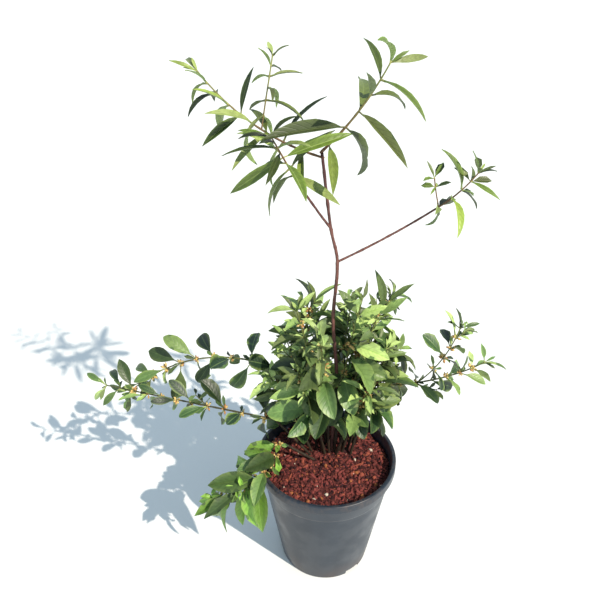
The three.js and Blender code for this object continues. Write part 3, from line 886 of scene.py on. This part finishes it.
def new_group(name, **values):
    """A node group with these inputs and their first values, and the sockets they come in by."""
    group = bpy.data.node_groups.new(name, "ShaderNodeTree")
    for label, value in values.items():
        socket = group.interface.new_socket(name=label, in_out="INPUT", socket_type="NodeSocketFloat")
        socket.default_value = value
    return group, group.nodes.new("NodeGroupInput").outputs


def give_out(group, **results):
    for label in results:
        group.interface.new_socket(name=label, in_out="OUTPUT", socket_type="NodeSocketFloat")
    outs = group.nodes.new("NodeGroupOutput")
    for label, result in results.items():
        group.links.new(result, outs.inputs[label])
    return group


def object_place(tree):
    return put(tree, "ShaderNodeTexCoord").outputs["Object"]


BROAD_SHARE = 0.16
CLOUD_SPAN = (0.3, 0.7)
STREAK_SPAN = (0.32, 0.68)


def make_mottle():
    """Fine and broad cloudy variation through the object's own space."""
    group, ins = new_group("mottle", Scale=100.0)
    place, broad_scale = object_place(group), sums(group, "MULTIPLY", ins["Scale"], BROAD_SHARE)
    fine = put(group, "ShaderNodeTexNoise", {"Vector": place, "Scale": ins["Scale"], "Detail": 4.0})
    broad = put(group, "ShaderNodeTexNoise", {"Vector": place, "Scale": broad_scale, "Detail": 2.0})
    clouds = [ramp(group, cloud.outputs["Fac"], *CLOUD_SPAN) for cloud in (fine, broad)]
    return give_out(group, Fine=clouds[0], Broad=clouds[1])


def make_streak():
    """Streaks that run up and down, for bark and for the pot's moulded wall."""
    group, ins = new_group("streak", Scale=100.0, Stretch=0.1)
    x, y, z = put(group, "ShaderNodeSeparateXYZ", {0: object_place(group)}).outputs
    squeezed = sums(group, "MULTIPLY", z, ins["Stretch"])
    spot = put(group, "ShaderNodeCombineXYZ", {0: x, 1: y, 2: squeezed}).outputs[0]
    grain = put(group, "ShaderNodeTexNoise", {"Vector": spot, "Scale": ins["Scale"], "Detail": 3.0})
    return give_out(group, Value=ramp(group, grain.outputs["Fac"], *STREAK_SPAN))


VEIN_COUNT = 9.0
VEIN_SLANT = 0.2
VEIN_EDGE = (0.0, 0.16)
RIB_EDGE = (0.02, 0.1)
MARGIN_SPAN = (0.5, 1.0)


def make_leaf_map():
    """Midrib, side veins and margin of a leaf, read from the leaf's own map."""
    group, _ = new_group("leaf_map")
    place = put(group, "ShaderNodeUVMap", uv_map="leaf").outputs[0]
    u, v, _ = put(group, "ShaderNodeSeparateXYZ", {0: place}).outputs
    doubled = sums(group, "MULTIPLY", u, 2.0)
    across = sums(group, "ABSOLUTE", sums(group, "SUBTRACT", doubled, 1.0))
    slant = sums(group, "MULTIPLY", across, VEIN_SLANT)
    run = sums(group, "MULTIPLY", sums(group, "SUBTRACT", v, slant), VEIN_COUNT)
    rib = ramp(group, across, *RIB_EDGE, 1.0, 0.0)
    vein = ramp(group, sums(group, "PINGPONG", run, 0.5), *VEIN_EDGE, 1.0, 0.0)
    return give_out(group, Rib=rib, Vein=vein, Margin=ramp(group, across, *MARGIN_SPAN))


MOTTLE, STREAK, LEAF_MAP = make_mottle(), make_streak(), make_leaf_map()


def use(tree, group, **sockets):
    return put(tree, "ShaderNodeGroup", sockets, node_tree=group).outputs


def height_in(tree):
    return put(tree, "ShaderNodeSeparateXYZ", {0: object_place(tree)}).outputs[2]


def new_material(name, rough, shine):
    mat = bpy.data.materials.new(name)
    mat.use_nodes = True
    tree = mat.node_tree
    skin = tree.nodes["Principled BSDF"]
    skin.inputs["Roughness"].default_value = rough
    skin.inputs["Specular IOR Level"].default_value = shine
    return mat, tree, skin


def bump(tree, skin, height, strength, deep):
    sockets = {"Height": height, "Strength": strength, "Distance": deep * MM}
    tree.links.new(put(tree, "ShaderNodeBump", sockets).outputs[0], skin.inputs["Normal"])


def shade(colour, k):
    return (colour[0] * k, colour[1] * k, colour[2] * k, 1.0)


LEAF_SHINE = 0.5
LEAF_TONES = (0.35, 1.65)
LEAF_CLOUD = {"scale": 260.0, "light": 1.12, "dark": 0.66, "share": 0.6}
LEAF_VEIN = {"shade": 0.5, "share": 0.34, "ridge": 0.6}
LEAF_GROOVE = {"strength": 0.4, "deep": -0.4}


def leaf_material(name, tint, rib, margin, rib_share, margin_share, rough):
    """A veined, mottled leaf, lighter or darker by its own tone."""
    mat, tree, skin = new_material(name, rough, LEAF_SHINE)
    lie, cloud = use(tree, LEAF_MAP), use(tree, MOTTLE, Scale=LEAF_CLOUD["scale"])
    tone = put(tree, "ShaderNodeAttribute", attribute_name="tone").outputs["Fac"]
    light, dark = shade(tint, LEAF_CLOUD["light"]), shade(tint, LEAF_CLOUD["dark"])
    colour = tinted(tree, light, cloud["Fine"], LEAF_CLOUD["share"], dark)
    colour = tinted(tree, colour, lie["Margin"], margin_share, margin)
    colour = tinted(tree, colour, lie["Vein"], LEAF_VEIN["share"], shade(tint, LEAF_VEIN["shade"]))
    colour = tinted(tree, colour, lie["Rib"], rib_share, rib)
    value = ramp(tree, tone, 0.0, 1.0, *LEAF_TONES)
    made = put(tree, "ShaderNodeHueSaturation", {"Color": colour, "Value": value})
    tree.links.new(made.outputs[0], skin.inputs["Base Color"])
    side_ridge = sums(tree, "MULTIPLY", lie["Vein"], LEAF_VEIN["ridge"])
    bump(tree, skin, sums(tree, "ADD", lie["Rib"], side_ridge), **LEAF_GROOVE)
    return mat


BARK_ROUGH, BARK_SHINE = 0.6, 0.35
BARK_STRETCH = 0.2
BARK_CLOUD = {"scale": 420.0, "light": 1.25, "share": 0.4}
BARK_GROOVE = {"strength": 0.5, "deep": 0.25}


def bark_material(name, sunny, dark, tip, scale, span):
    """Streaked bark that turns to the tip colour between the two heights of its span."""
    mat, tree, skin = new_material(name, BARK_ROUGH, BARK_SHINE)
    grain = use(tree, STREAK, Scale=scale, Stretch=BARK_STRETCH)
    cloud = use(tree, MOTTLE, Scale=BARK_CLOUD["scale"])
    sunny, dark, tip = srgb(*sunny), srgb(*dark), srgb(*tip)
    colour = blend(tree, grain["Value"], sunny, dark)
    colour = tinted(tree, colour, cloud["Broad"], BARK_CLOUD["share"], shade(sunny, BARK_CLOUD["light"]))
    colour = blend(tree, ramp(tree, height_in(tree), span[0] * MM, span[1] * MM), colour, tip)
    tree.links.new(colour, skin.inputs["Base Color"])
    bump(tree, skin, sums(tree, "ADD", grain["Value"], cloud["Fine"]), **BARK_GROOVE)
    return mat


GRAIN_SHINE = 0.25
GRAIN_CLOUD = {"dark": 0.6, "share": 0.35}
GRAIN_PIT = {"strength": 0.7, "deep": 0.5}


def grain_material(name, tint, other, scale, rough):
    """A matt, mottled grain, for soil and for buds."""
    mat, tree, skin = new_material(name, rough, GRAIN_SHINE)
    cloud = use(tree, MOTTLE, Scale=scale)
    tint, other = srgb(*tint), srgb(*other)
    colour = blend(tree, cloud["Fine"], tint, other)
    colour = tinted(tree, colour, cloud["Broad"], GRAIN_CLOUD["share"], shade(tint, GRAIN_CLOUD["dark"]))
    tree.links.new(colour, skin.inputs["Base Color"])
    bump(tree, skin, cloud["Fine"], **GRAIN_PIT)
    return mat


POT_ROUGH, POT_SHINE = (0.3, 0.46), 0.5
POT_CLOUD, POT_DUST = 45.0, 330.0
POT_STREAK = {"Scale": 70.0, "Stretch": 0.08}
POT_BLUE, POT_WORN, POT_DUSTY = (32, 42, 54), (44, 54, 66), (108, 90, 80)
POT_WEAR = 0.5
RIM_DUST = {"depth": 16, "share": 0.5}
FOOT_DUST = {"height": 30, "share": 0.3}
POT_PIT = {"strength": 0.12, "deep": 0.3}


def pot_material():
    """Dark moulded plastic, with dust on its rim and foot."""
    mat, tree, skin = new_material("pot_plastic", POT_ROUGH[1], POT_SHINE)
    cloud, dust = use(tree, MOTTLE, Scale=POT_CLOUD), use(tree, MOTTLE, Scale=POT_DUST)
    streak = use(tree, STREAK, **POT_STREAK)
    dusty = srgb(*POT_DUSTY)
    colour = tinted(tree, srgb(*POT_BLUE), streak["Value"], POT_WEAR, srgb(*POT_WORN))
    height = height_in(tree)
    by_rim = ramp(tree, height, (POT_HEIGHT - RIM_DUST["depth"]) * MM, POT_HEIGHT * MM)
    grit = sums(tree, "MULTIPLY", sums(tree, "MULTIPLY", dust["Fine"], cloud["Fine"]), by_rim)
    colour = tinted(tree, colour, grit, RIM_DUST["share"], dusty)
    by_foot = ramp(tree, height, FOOT_DUST["height"] * MM, 0.0)
    colour = tinted(tree, colour, sums(tree, "MULTIPLY", by_foot, cloud["Fine"]), FOOT_DUST["share"], dusty)
    tree.links.new(colour, skin.inputs["Base Color"])
    tree.links.new(ramp(tree, cloud["Fine"], 0.0, 1.0, *POT_ROUGH), skin.inputs["Roughness"])
    bump(tree, skin, dust["Broad"], **POT_PIT)
    return mat


FLOOR_ROUGH, FLOOR_SHINE = 0.7, 0.3
FLOOR_CLOUD = 9.0
FLOOR_PALE, FLOOR_COOL = (240, 241, 240), (236, 238, 238)


def floor_material():
    mat, tree, skin = new_material("floor_white", FLOOR_ROUGH, FLOOR_SHINE)
    cloud = use(tree, MOTTLE, Scale=FLOOR_CLOUD)
    colour = blend(tree, cloud["Fine"], srgb(*FLOOR_PALE), srgb(*FLOOR_COOL))
    tree.links.new(colour, skin.inputs["Base Color"])
    return mat


# Pot: its section is spun round, and the drain notches are cut from its foot. Rows of the section
# that stand close to a step hold its shading crisp.
FOOT_FLAT = 4
WALL_ROWS = [12, 40, 70]
INNER_ROWS = [POT_HEIGHT - 5, SOIL_LEVEL, 60, POT_FLOOR]
COLLAR_HOLD = {"below": 1, "above": 2}
LIP_HOLD = 0.6
LIP_STEP = 0.7
LIP_EDGE = 0.5
POT_CREASE = 38
MERGE = 0.001


def pot_wall(z):
    """The outer radius of the plain wall at a height."""
    return mix(POT_BASE_RADIUS, POT_RIM_RADIUS - LIP_PROUD, z / POT_HEIGHT)


def pot_section():
    """Radii and heights from the middle of the underside, up over the lip, to the middle of the floor."""

    def corner(r, z, first, last, size):
        steps = [math.radians(mix(first, last, i / ROUND_STEPS)) for i in range(ROUND_STEPS + 1)]
        return [(r + size * math.cos(a), z + size * math.sin(a)) for a in steps]

    step, lip = POT_HEIGHT - COLLAR_HEIGHT, POT_HEIGHT - LIP_HEIGHT
    inside = pot_wall(POT_HEIGHT) - POT_WALL
    section = [(0, 0), (POT_BASE_RADIUS - FOOT_FLAT, 0)]
    section += corner(POT_BASE_RADIUS - FOOT_BEVEL, FOOT_BEVEL, -90, 0, FOOT_BEVEL)
    section += [(pot_wall(z), z) for z in WALL_ROWS + [step - COLLAR_HOLD["below"], step]]
    section += [(pot_wall(step) + COLLAR_PROUD, step + COLLAR_PROUD)]
    collar_rows = [step + COLLAR_HOLD["above"], lip - LIP_HOLD, lip]
    section += [(pot_wall(z) + COLLAR_PROUD, z) for z in collar_rows]
    section += corner(POT_RIM_RADIUS - LIP_EDGE, lip + LIP_STEP, -90, 0, LIP_EDGE)
    section += corner(POT_RIM_RADIUS - LIP_ROUND, POT_HEIGHT - LIP_ROUND, 0, 90, LIP_ROUND)
    section += corner(inside + LIP_ROUND, POT_HEIGHT - LIP_ROUND, 90, 180, LIP_ROUND)
    section += [(pot_wall(z) - POT_WALL, z) for z in INNER_ROWS]
    return section + [(0, POT_FLOOR)]


def spun(section, steps):
    bm = bmesh.new()
    line = [bm.verts.new((r * MM, 0, z * MM)) for r, z in section]
    edges = [bm.edges.new(pair) for pair in zip(line, line[1:])]
    bmesh.ops.spin(bm, geom=line + edges, cent=(0, 0, 0), axis=(0, 0, 1), angle=2 * math.pi,
                   steps=steps, use_merge=True)
    bmesh.ops.remove_doubles(bm, verts=bm.verts, dist=MERGE * MM)
    return bm


def cut_notches(mesh):
    bm = bmesh.new()
    for i in range(NOTCH_COUNT):
        turn = Matrix.Rotation(math.radians(NOTCH_FIRST + i * 360 / NOTCH_COUNT), 4, "Z")
        place = Matrix.Translation((POT_BASE_RADIUS * MM, 0, 0))
        size = Matrix.Diagonal((2 * NOTCH_DEPTH * MM, NOTCH_WIDTH * MM, 2 * NOTCH_HEIGHT * MM, 1))
        bmesh.ops.create_cube(bm, size=1.0, matrix=turn @ place @ size)
    whole, cutter = placed("pot_blank", mesh), placed("notch_cutter", mesh_from(bm, "notch_cutter"))
    cut = whole.modifiers.new("notches", "BOOLEAN")
    cut.operation, cut.object, cut.solver = "DIFFERENCE", cutter, "EXACT"
    ready = whole.evaluated_get(bpy.context.evaluated_depsgraph_get())
    made = bpy.data.meshes.new_from_object(ready)
    for thing in (whole, cutter):
        bpy.data.objects.remove(thing)
    return made


pot_mesh = cut_notches(mesh_from(spun(pot_section(), POT_STEPS), "pot"))
finish_piece("nursery_pot", pot_mesh, "pot_plastic", ["pot"], [pot_material()], sharp=POT_CREASE)

# Soil: a plug whose top is uneven, with crumbs, fibres and flecks lying on it
SOIL_STEPS = 140
SOIL_ROWS = 46
SOIL_INSET = 0.4
SOIL_HEAPS = {"size": 17, "height": 1.3, "layer": 3.1}
SOIL_LUMPS = {"size": 4.2, "height": 1.5, "layer": 8.3}
SOIL_MOTTLE = 620.0
SOIL_ROUGH = 0.85


def soil_inner(z):
    """The radius of the soil at a height, just off the pot's wall."""
    return pot_wall(z) - POT_WALL - SOIL_INSET


def unevenness(x, y, form):
    return noise.noise(Vector((x / form["size"], y / form["size"], form["layer"]))) * form["height"]


def soil_height(x, y):
    r = math.hypot(x, y)
    fall = max(0, (r - SOIL_FLAT_RADIUS) / (soil_inner(SOIL_EDGE_LEVEL) - SOIL_FLAT_RADIUS))
    level = mix(SOIL_LEVEL, SOIL_EDGE_LEVEL, fall)
    return level + unevenness(x, y, SOIL_HEAPS) + unevenness(x, y, SOIL_LUMPS)


edge = soil_inner(SOIL_EDGE_LEVEL)
top = [(edge * (1 - i / SOIL_ROWS), SOIL_EDGE_LEVEL) for i in range(SOIL_ROWS + 1)]
bm = spun([(0, POT_FLOOR + GAP), (soil_inner(POT_FLOOR), POT_FLOOR + GAP)] + top, SOIL_STEPS)
for v in bm.verts:
    if v.co.z > SOIL_EDGE_LEVEL / 2 * MM:
        v.co.z = soil_height(v.co.x / MM, v.co.y / MM) * MM
soil_skin = grain_material("soil_dark", (100, 50, 46), (56, 27, 28), SOIL_MOTTLE, SOIL_ROUGH)
finish_piece("potting_soil", mesh_from(bm, "soil"), "soil", ["soil"], [soil_skin])

# Crumbs. The powers make most of them small and few of them long. A kind is taken where the throw is
# up to its own number.
CRUMB_COUNT = 4200
CRUMB_EDGE = 1
CRUMB_SIZE = [0.45, 2.1]
CRUMB_SIZE_POWER = 3
CRUMB_STRETCH = 2.2
CRUMB_STRETCH_POWER = 4
CRUMB_TIP = 0.9
CRUMB_PROUD = 0.3
CRUMB_KINK = {"share": 0.35, "size": 1.7, "span": 50}
CRUMB_MOTTLE = 1500.0
CRUMB_CREASE = 50
CRUMB_SEED = 17
CRUMB_KINDS = {
    "soil_red": {"up_to": 0.38, "tint": (148, 74, 68), "other": (116, 55, 53)},
    "soil_brown": {"up_to": 0.66, "tint": (122, 62, 56), "other": (90, 44, 42)},
    "soil_deep": {"up_to": 0.86, "tint": (68, 35, 37), "other": (44, 23, 27)},
    "soil_orange": {"up_to": 0.96, "tint": (174, 94, 72), "other": (142, 72, 60)},
    "soil_husk": {"up_to": 0.99, "tint": (180, 112, 70), "other": (150, 88, 56)},
    "soil_fleck": {"up_to": 1.0, "tint": (226, 212, 192), "other": (200, 184, 164)},
}


def pattern_from(bm):
    """The vertices and faces of a small shape that is repeated many times."""
    bm.verts.index_update()
    verts = [Vector(v.co) for v in bm.verts]
    faces = [[v.index for v in f.verts] for f in bm.faces]
    bm.free()
    return verts, faces


bm = bmesh.new()
bmesh.ops.create_icosphere(bm, subdivisions=1, radius=1.0)
ball_verts, ball_faces = pattern_from(bm)
crumbs = Sheaf()
roll = dice(CRUMB_SEED)
for _ in range(CRUMB_COUNT):
    r, a = (edge - CRUMB_EDGE) * math.sqrt(roll()), 2 * math.pi * roll()
    x, y = r * math.cos(a), r * math.sin(a)
    size = mix(*CRUMB_SIZE, roll() ** CRUMB_SIZE_POWER)
    long = 1 + CRUMB_STRETCH * roll() ** CRUMB_STRETCH_POWER
    shape = Matrix.Diagonal((size * long, size / math.sqrt(long), size / math.sqrt(long)))
    spin = Matrix.Rotation(FULL_TURN * roll(), 3, "Z")
    spin = spin @ Matrix.Rotation(CRUMB_TIP * (roll() - 0.5), 3, "Y")
    spot = Vector((x, y, soil_height(x, y) + size * CRUMB_PROUD))
    pick = roll()
    mark = next(i for i, kind in enumerate(CRUMB_KINDS.values()) if pick <= kind["up_to"])
    kink = roll() * CRUMB_KINK["span"]
    verts = []
    for v in ball_verts:
        dent = noise.noise(v * CRUMB_KINK["size"] + Vector((kink, kink, 0)))
        verts.append(tuple(spin @ (shape @ (v * (1 + CRUMB_KINK["share"] * dent))) + spot))
    crumbs.take(verts, ball_faces, [mark] * len(ball_faces), roll())
crumb_skins = []
for name, kind in CRUMB_KINDS.items():
    crumb_skins.append(grain_material(name, kind["tint"], kind["other"], CRUMB_MOTTLE, SOIL_ROUGH))
finish_piece("soil_crumbs", crumbs.mesh("soil_crumbs"), "soil", ["soil"], crumb_skins, sharp=CRUMB_CREASE)

# Woody parts
TRUNK_SIDES, BOUGH_SIDES, STEM_SIDES = 18, 12, 8
BARK_RELIEF, STEM_RELIEF = 0.16, 0.08
TRUNK_NODES = [0.12, 0.2, 0.29, 0.37, 0.44, 0.53, 0.61, 0.7, 0.8, 0.87, 0.95]
TRUNK_GRAIN = 5
BOUGH_NODES = [0.3, 0.55, 0.8]
BOUGH_SINK = 0.5
STEM_SINK = 1.5
BARKS = {
    "bark": {"sunny": (116, 76, 68), "dark": (62, 40, 40), "tip": (72, 42, 44),
             "scale": 420.0, "span": (330, 420)},
    "young_bark": {"sunny": (120, 92, 62), "dark": (90, 62, 50), "tip": (132, 138, 74),
                   "scale": 500.0, "span": (410, 480)},
    # The low stems' browns are darkened, partly their own woody colour and partly painted shade under the
    # bush, below the green of their upper part.
    "low_bark": {"sunny": (58, 48, 36), "dark": (36, 30, 24), "tip": (104, 110, 58),
                 "scale": 500.0, "span": (140, 250)},
}
bark, young_bark, low_bark = (bark_material(name, **look) for name, look in BARKS.items())

bm = bmesh.new()
limb(bm, sunk(axis, SINK), trunk_radius, TRUNK_SIDES, BARK_RELIEF, TRUNK_NODES, TRUNK_GRAIN)
finish_piece("trunk_bark", mesh_from(bm, "trunk"), "bark", ["trunk"], [bark])

boughs, crown_twigs, low_stems, low_twigs = (bmesh.new() for _ in range(4))
for number, shoot in enumerate(shoots):
    low = shoot["low"]
    radii = LOW_BOUGH_RADIUS if low else CROWN_BOUGH_RADIUS
    root = radii[1] - STEM_STEP if "bough" in shoot else shoot["girth"]
    if "bough" in shoot:
        path = sunk(shoot["bough_path"], SINK if low else BOUGH_SINK)
        limb(low_stems if low else boughs, path, taper(*radii), BOUGH_SIDES,
             STEM_RELIEF if low else BARK_RELIEF, BOUGH_NODES, number)
    twigs = low_twigs if low else crown_twigs
    (stem, spray), *forks = shoot["runs"]
    limb(twigs, sunk(stem, STEM_SINK), taper(root, STEM_TIP_RADIUS), STEM_SIDES, STEM_RELIEF,
         node_marks(spray), number)
    for path, run in forks:
        start = mix(root, STEM_TIP_RADIUS, run["at"]) * TWIG_SHARE
        limb(twigs, path, taper(start, STEM_TIP_RADIUS), STEM_SIDES, STEM_RELIEF, node_marks(run), number)
    for side in shoot["sides"]:
        limb(twigs, side, taper(*SIDE_RADIUS), STEM_SIDES, STEM_RELIEF, seed=number)
crown_nodes = [f"crown_{s['name']}" for s in shoots if not s["low"]]
low_names = [s["name"] for s in shoots if s["low"]]
low_stem_nodes = [f"{name}_stem" for name in low_names]
low_leaf_nodes = [f"{name}_leaves" for name in low_names]
finish_piece("bough_bark", mesh_from(boughs, "boughs"), "bark", ["bough_left", "bough_right"], [bark])
finish_piece("crown_twigs", mesh_from(crown_twigs, "crown_twigs"), "bark", crown_nodes, [young_bark])
finish_piece("low_stems", mesh_from(low_stems, "low_stems"), "low_bark", low_stem_nodes, [low_bark])
finish_piece("low_twigs", mesh_from(low_twigs, "low_twigs"), "low_bark", low_leaf_nodes, [low_bark])

# Foliage. In the crown the greens are dealt out by spray, and in the low growth by the leaf's age along its
# stem, darker towards the root, partly the older leaves' colour and partly painted shade inside the bush.
# The young arm at the front has broader leaves in fresher greens, brightened partly as painted sunlight.
LEAF_LOOKS = {
    "crown": {
        "greens": [(122, 140, 60), (82, 102, 38), (142, 156, 88), (46, 64, 24)],
        "rib": (176, 196, 120), "margin": (146, 172, 76), "rib_share": 0.3, "margin_share": 0.25,
        "underside": [(112, 132, 76), (120, 142, 80)], "stalk": (150, 150, 88),
    },
    "low": {
        # The last low green is the front arm's bright green, partly its fresh colour and partly painted
        # sunlight.
        "greens": [(54, 82, 42), (91, 120, 64), (28, 50, 30), (118, 143, 80), (150, 170, 102),
                   (112, 152, 60)],
        "rib": (150, 178, 104), "margin": (140, 160, 84), "rib_share": 0.2, "margin_share": 0.5,
        "underside": [(80, 106, 58), (96, 120, 68)], "stalk": (140, 150, 84),
    },
}
# Greens by age along the stem, darkest near the root: partly the older leaves' own colour, partly painted
# shade inside the bush.
ARM_AGE_AND_SHADE_BANDS = [(0.45, (2, 2, 0)), (0.7, (0, 1, 3)), (2, (1, 3, 4))]
CORE_AGE_AND_SHADE_BANDS = [(0.3, (0, 0, 1)), (0.65, (1, 3, 4)), (2, (3, 4, 4))]
AGE_SPREAD = 0.2
FRESH_SUNLIT_ARM = "low_6"
FRESH_BREADTH = 1.3
# The front arm's greens are brightened, partly its fresh lime colour and partly painted sunlight.
FRESH_SUNLIT_TINTS = (5, 5, 1)
GREEN_ROUGH = 0.42
UNDERSIDE = {"rib_share": 0.35, "margin_share": 0.2, "rough": 0.55}
STALK = {"rib_share": 0.2, "margin_share": 0.1, "rough": 0.5}
LEAF_CREASE = 70
LEAF_SEED = 307


def leaf_skins(name):
    """The greens of one kind of foliage, then its underside and its stalks."""
    look = LEAF_LOOKS[name]
    rib, margin, stalk = srgb(*look["rib"]), srgb(*look["margin"]), srgb(*look["stalk"])
    shares = (look["rib_share"], look["margin_share"])
    made = []
    for i, green in enumerate(look["greens"]):
        skin = leaf_material(f"{name}_green_{i + 1}", srgb(*green), rib, margin, *shares, GREEN_ROUGH)
        made.append(skin)
    pale, pale_margin = (srgb(*c) for c in look["underside"])
    made.append(leaf_material(f"{name}_underside", pale, rib, pale_margin, **UNDERSIDE))
    made.append(leaf_material(f"{name}_stalk", stalk, rib, stalk, **STALK))
    return made


crown_skins, low_skins = leaf_skins("crown"), leaf_skins("low")
crown_leaves, low_leaves, axil_leaves = Sheaf(), Sheaf(), Sheaf()
for number, shoot in enumerate(shoots):
    low, fresh_sunlit = shoot["low"], shoot["name"] == FRESH_SUNLIT_ARM
    greens = len(LEAF_LOOKS["low" if low else "crown"]["greens"])
    age_and_shade_bands = ARM_AGE_AND_SHADE_BANDS if shoot["kind"] == "spoon" else CORE_AGE_AND_SHADE_BANDS
    roll = dice(LEAF_SEED + number)
    for leaf in shoot["leaves"] + shoot["tufts"]:
        leaf["half"] *= FRESH_BREADTH if fresh_sunlit else 1
        verts, faces, marks, maps = blade(leaf, FORMS[shoot["kind"]], roll)
        pick = int(len(FRESH_SUNLIT_TINTS) * roll())
        tint = (number + pick) % greens
        sheaf = crown_leaves
        if low:
            # The leaf's place on its stem picks its greens, darker near the root partly as painted shade.
            age_and_shade = leaf["share"] + AGE_SPREAD * (roll() - 0.5)
            tints = FRESH_SUNLIT_TINTS if fresh_sunlit else next(tints for end, tints in age_and_shade_bands if age_and_shade < end)
            tint = tints[pick]
            sheaf = axil_leaves if leaf.get("small") else low_leaves
        sheaf.take(verts, faces, [tint if m == 0 else greens + m - 1 for m in marks], roll(), maps)
for name, sheaf, slot, nodes, skins in (
    ("crown_foliage", crown_leaves, "crown_leaf", crown_nodes, crown_skins),
    ("low_foliage", low_leaves, "low_leaf", low_leaf_nodes, low_skins),
    ("axil_foliage", axil_leaves, "low_leaf", low_leaf_nodes, low_skins),
):
    finish_piece(name, sheaf.mesh(name), slot, nodes, skins, sharp=LEAF_CREASE)

# Flower heads: clusters of small pointed buds in the leaf axils. A bud has its root, belly and tip at
# shares of its length.
BUD_COUNT = 12
BUD_SIZE = [2.8, 5.0]
BUD_VARY = [0.8, 1.2]
BUD_LEAN = [-0.5, 0.9]
BUD_ROOT = 0.5
BUD_LEVELS = [0.0, 0.6, 1.1]
BUD_HALF = 0.27
BUD_SIDES = 4
BUD_MOTTLE = 700.0
BUD_ROUGH = 0.6
CREAM_SHARE = 0.7
HEAD_SEED = 911


def bud_pattern():
    """A four-sided bud of unit length that stands on its root."""
    bm = bmesh.new()
    bmesh.ops.create_uvsphere(bm, u_segments=BUD_SIDES, v_segments=2, radius=1.0)
    for v in bm.verts:
        v.co = (v.co.x * BUD_HALF, v.co.y * BUD_HALF, BUD_LEVELS[1 + round(v.co.z)])
    return pattern_from(bm)


bud_verts, bud_faces = bud_pattern()
flowers = Sheaf()
roll = dice(HEAD_SEED)
for base, t, size in heads:
    for _ in range(BUD_COUNT):
        stem = Vector(t)
        out = stem.orthogonal().normalized()
        out.rotate(Matrix.Rotation(FULL_TURN * roll(), 3, stem))
        out = (out + stem * mix(*BUD_LEAN, roll())).normalized()
        length = mix(*BUD_SIZE, roll()) * mix(*BUD_VARY, size)
        side = out.orthogonal().normalized()
        lie = Matrix((side, out.cross(side), out)).transposed() * length
        root = Vector(base) + out * BUD_ROOT
        verts = [tuple(root + lie @ v) for v in bud_verts]
        mark = 0 if roll() < CREAM_SHARE else 1
        flowers.take(verts, bud_faces, [mark] * len(bud_faces), roll())
flower_skins = [
    grain_material("bud_cream", (232, 208, 140), (212, 178, 104), BUD_MOTTLE, BUD_ROUGH),
    grain_material("bud_tan", (200, 152, 96), (170, 118, 70), BUD_MOTTLE, BUD_ROUGH),
]
finish_piece("flower_heads", flowers.mesh("flower_heads"), "low_leaf", low_leaf_nodes, flower_skins)

# Floor, light and camera
FLOOR_HALF = 12.0
bm = bmesh.new()
bmesh.ops.create_grid(bm, x_segments=1, y_segments=1, size=FLOOR_HALF)
floor_mesh = mesh_from(bm, "floor")
floor_mesh.materials.append(floor_material())
floor = placed("floor", floor_mesh)

KEY_WAY = Vector((-0.53, 0.52, -0.67))
KEY_POWER = 4.6
KEY_SPREAD = 0.8
KEY_COLOUR = (1.0, 0.91, 0.78)
SKY_COLOUR = (0.68, 0.85, 1.0, 1.0)
SKY_POWER = 0.68
key_data = bpy.data.lights.new("key", "SUN")
key_data.energy = KEY_POWER
key_data.angle = math.radians(KEY_SPREAD)
key_data.color = KEY_COLOUR
key = placed("key", key_data)
key.rotation_euler = KEY_WAY.to_track_quat("-Z", "Y").to_euler()
world = bpy.data.worlds.new("studio")
world.use_nodes = True
sky = world.node_tree.nodes["Background"]
sky.inputs["Color"].default_value = SKY_COLOUR
sky.inputs["Strength"].default_value = SKY_POWER
scene.world = world
scene.view_settings.view_transform = "Standard"

CAMERA_PLACE = (-0.025, -0.430, 0.545)
CAMERA_PITCH = 59.5
CAMERA_LENS = 37.2
CAMERA_SENSOR = 36.0
eye = bpy.data.cameras.new("camera")
eye.lens, eye.sensor_width = CAMERA_LENS, CAMERA_SENSOR
camera = placed("camera", eye)
camera.location = CAMERA_PLACE
camera.rotation_euler = (math.radians(CAMERA_PITCH), 0, 0)
scene.camera = camera
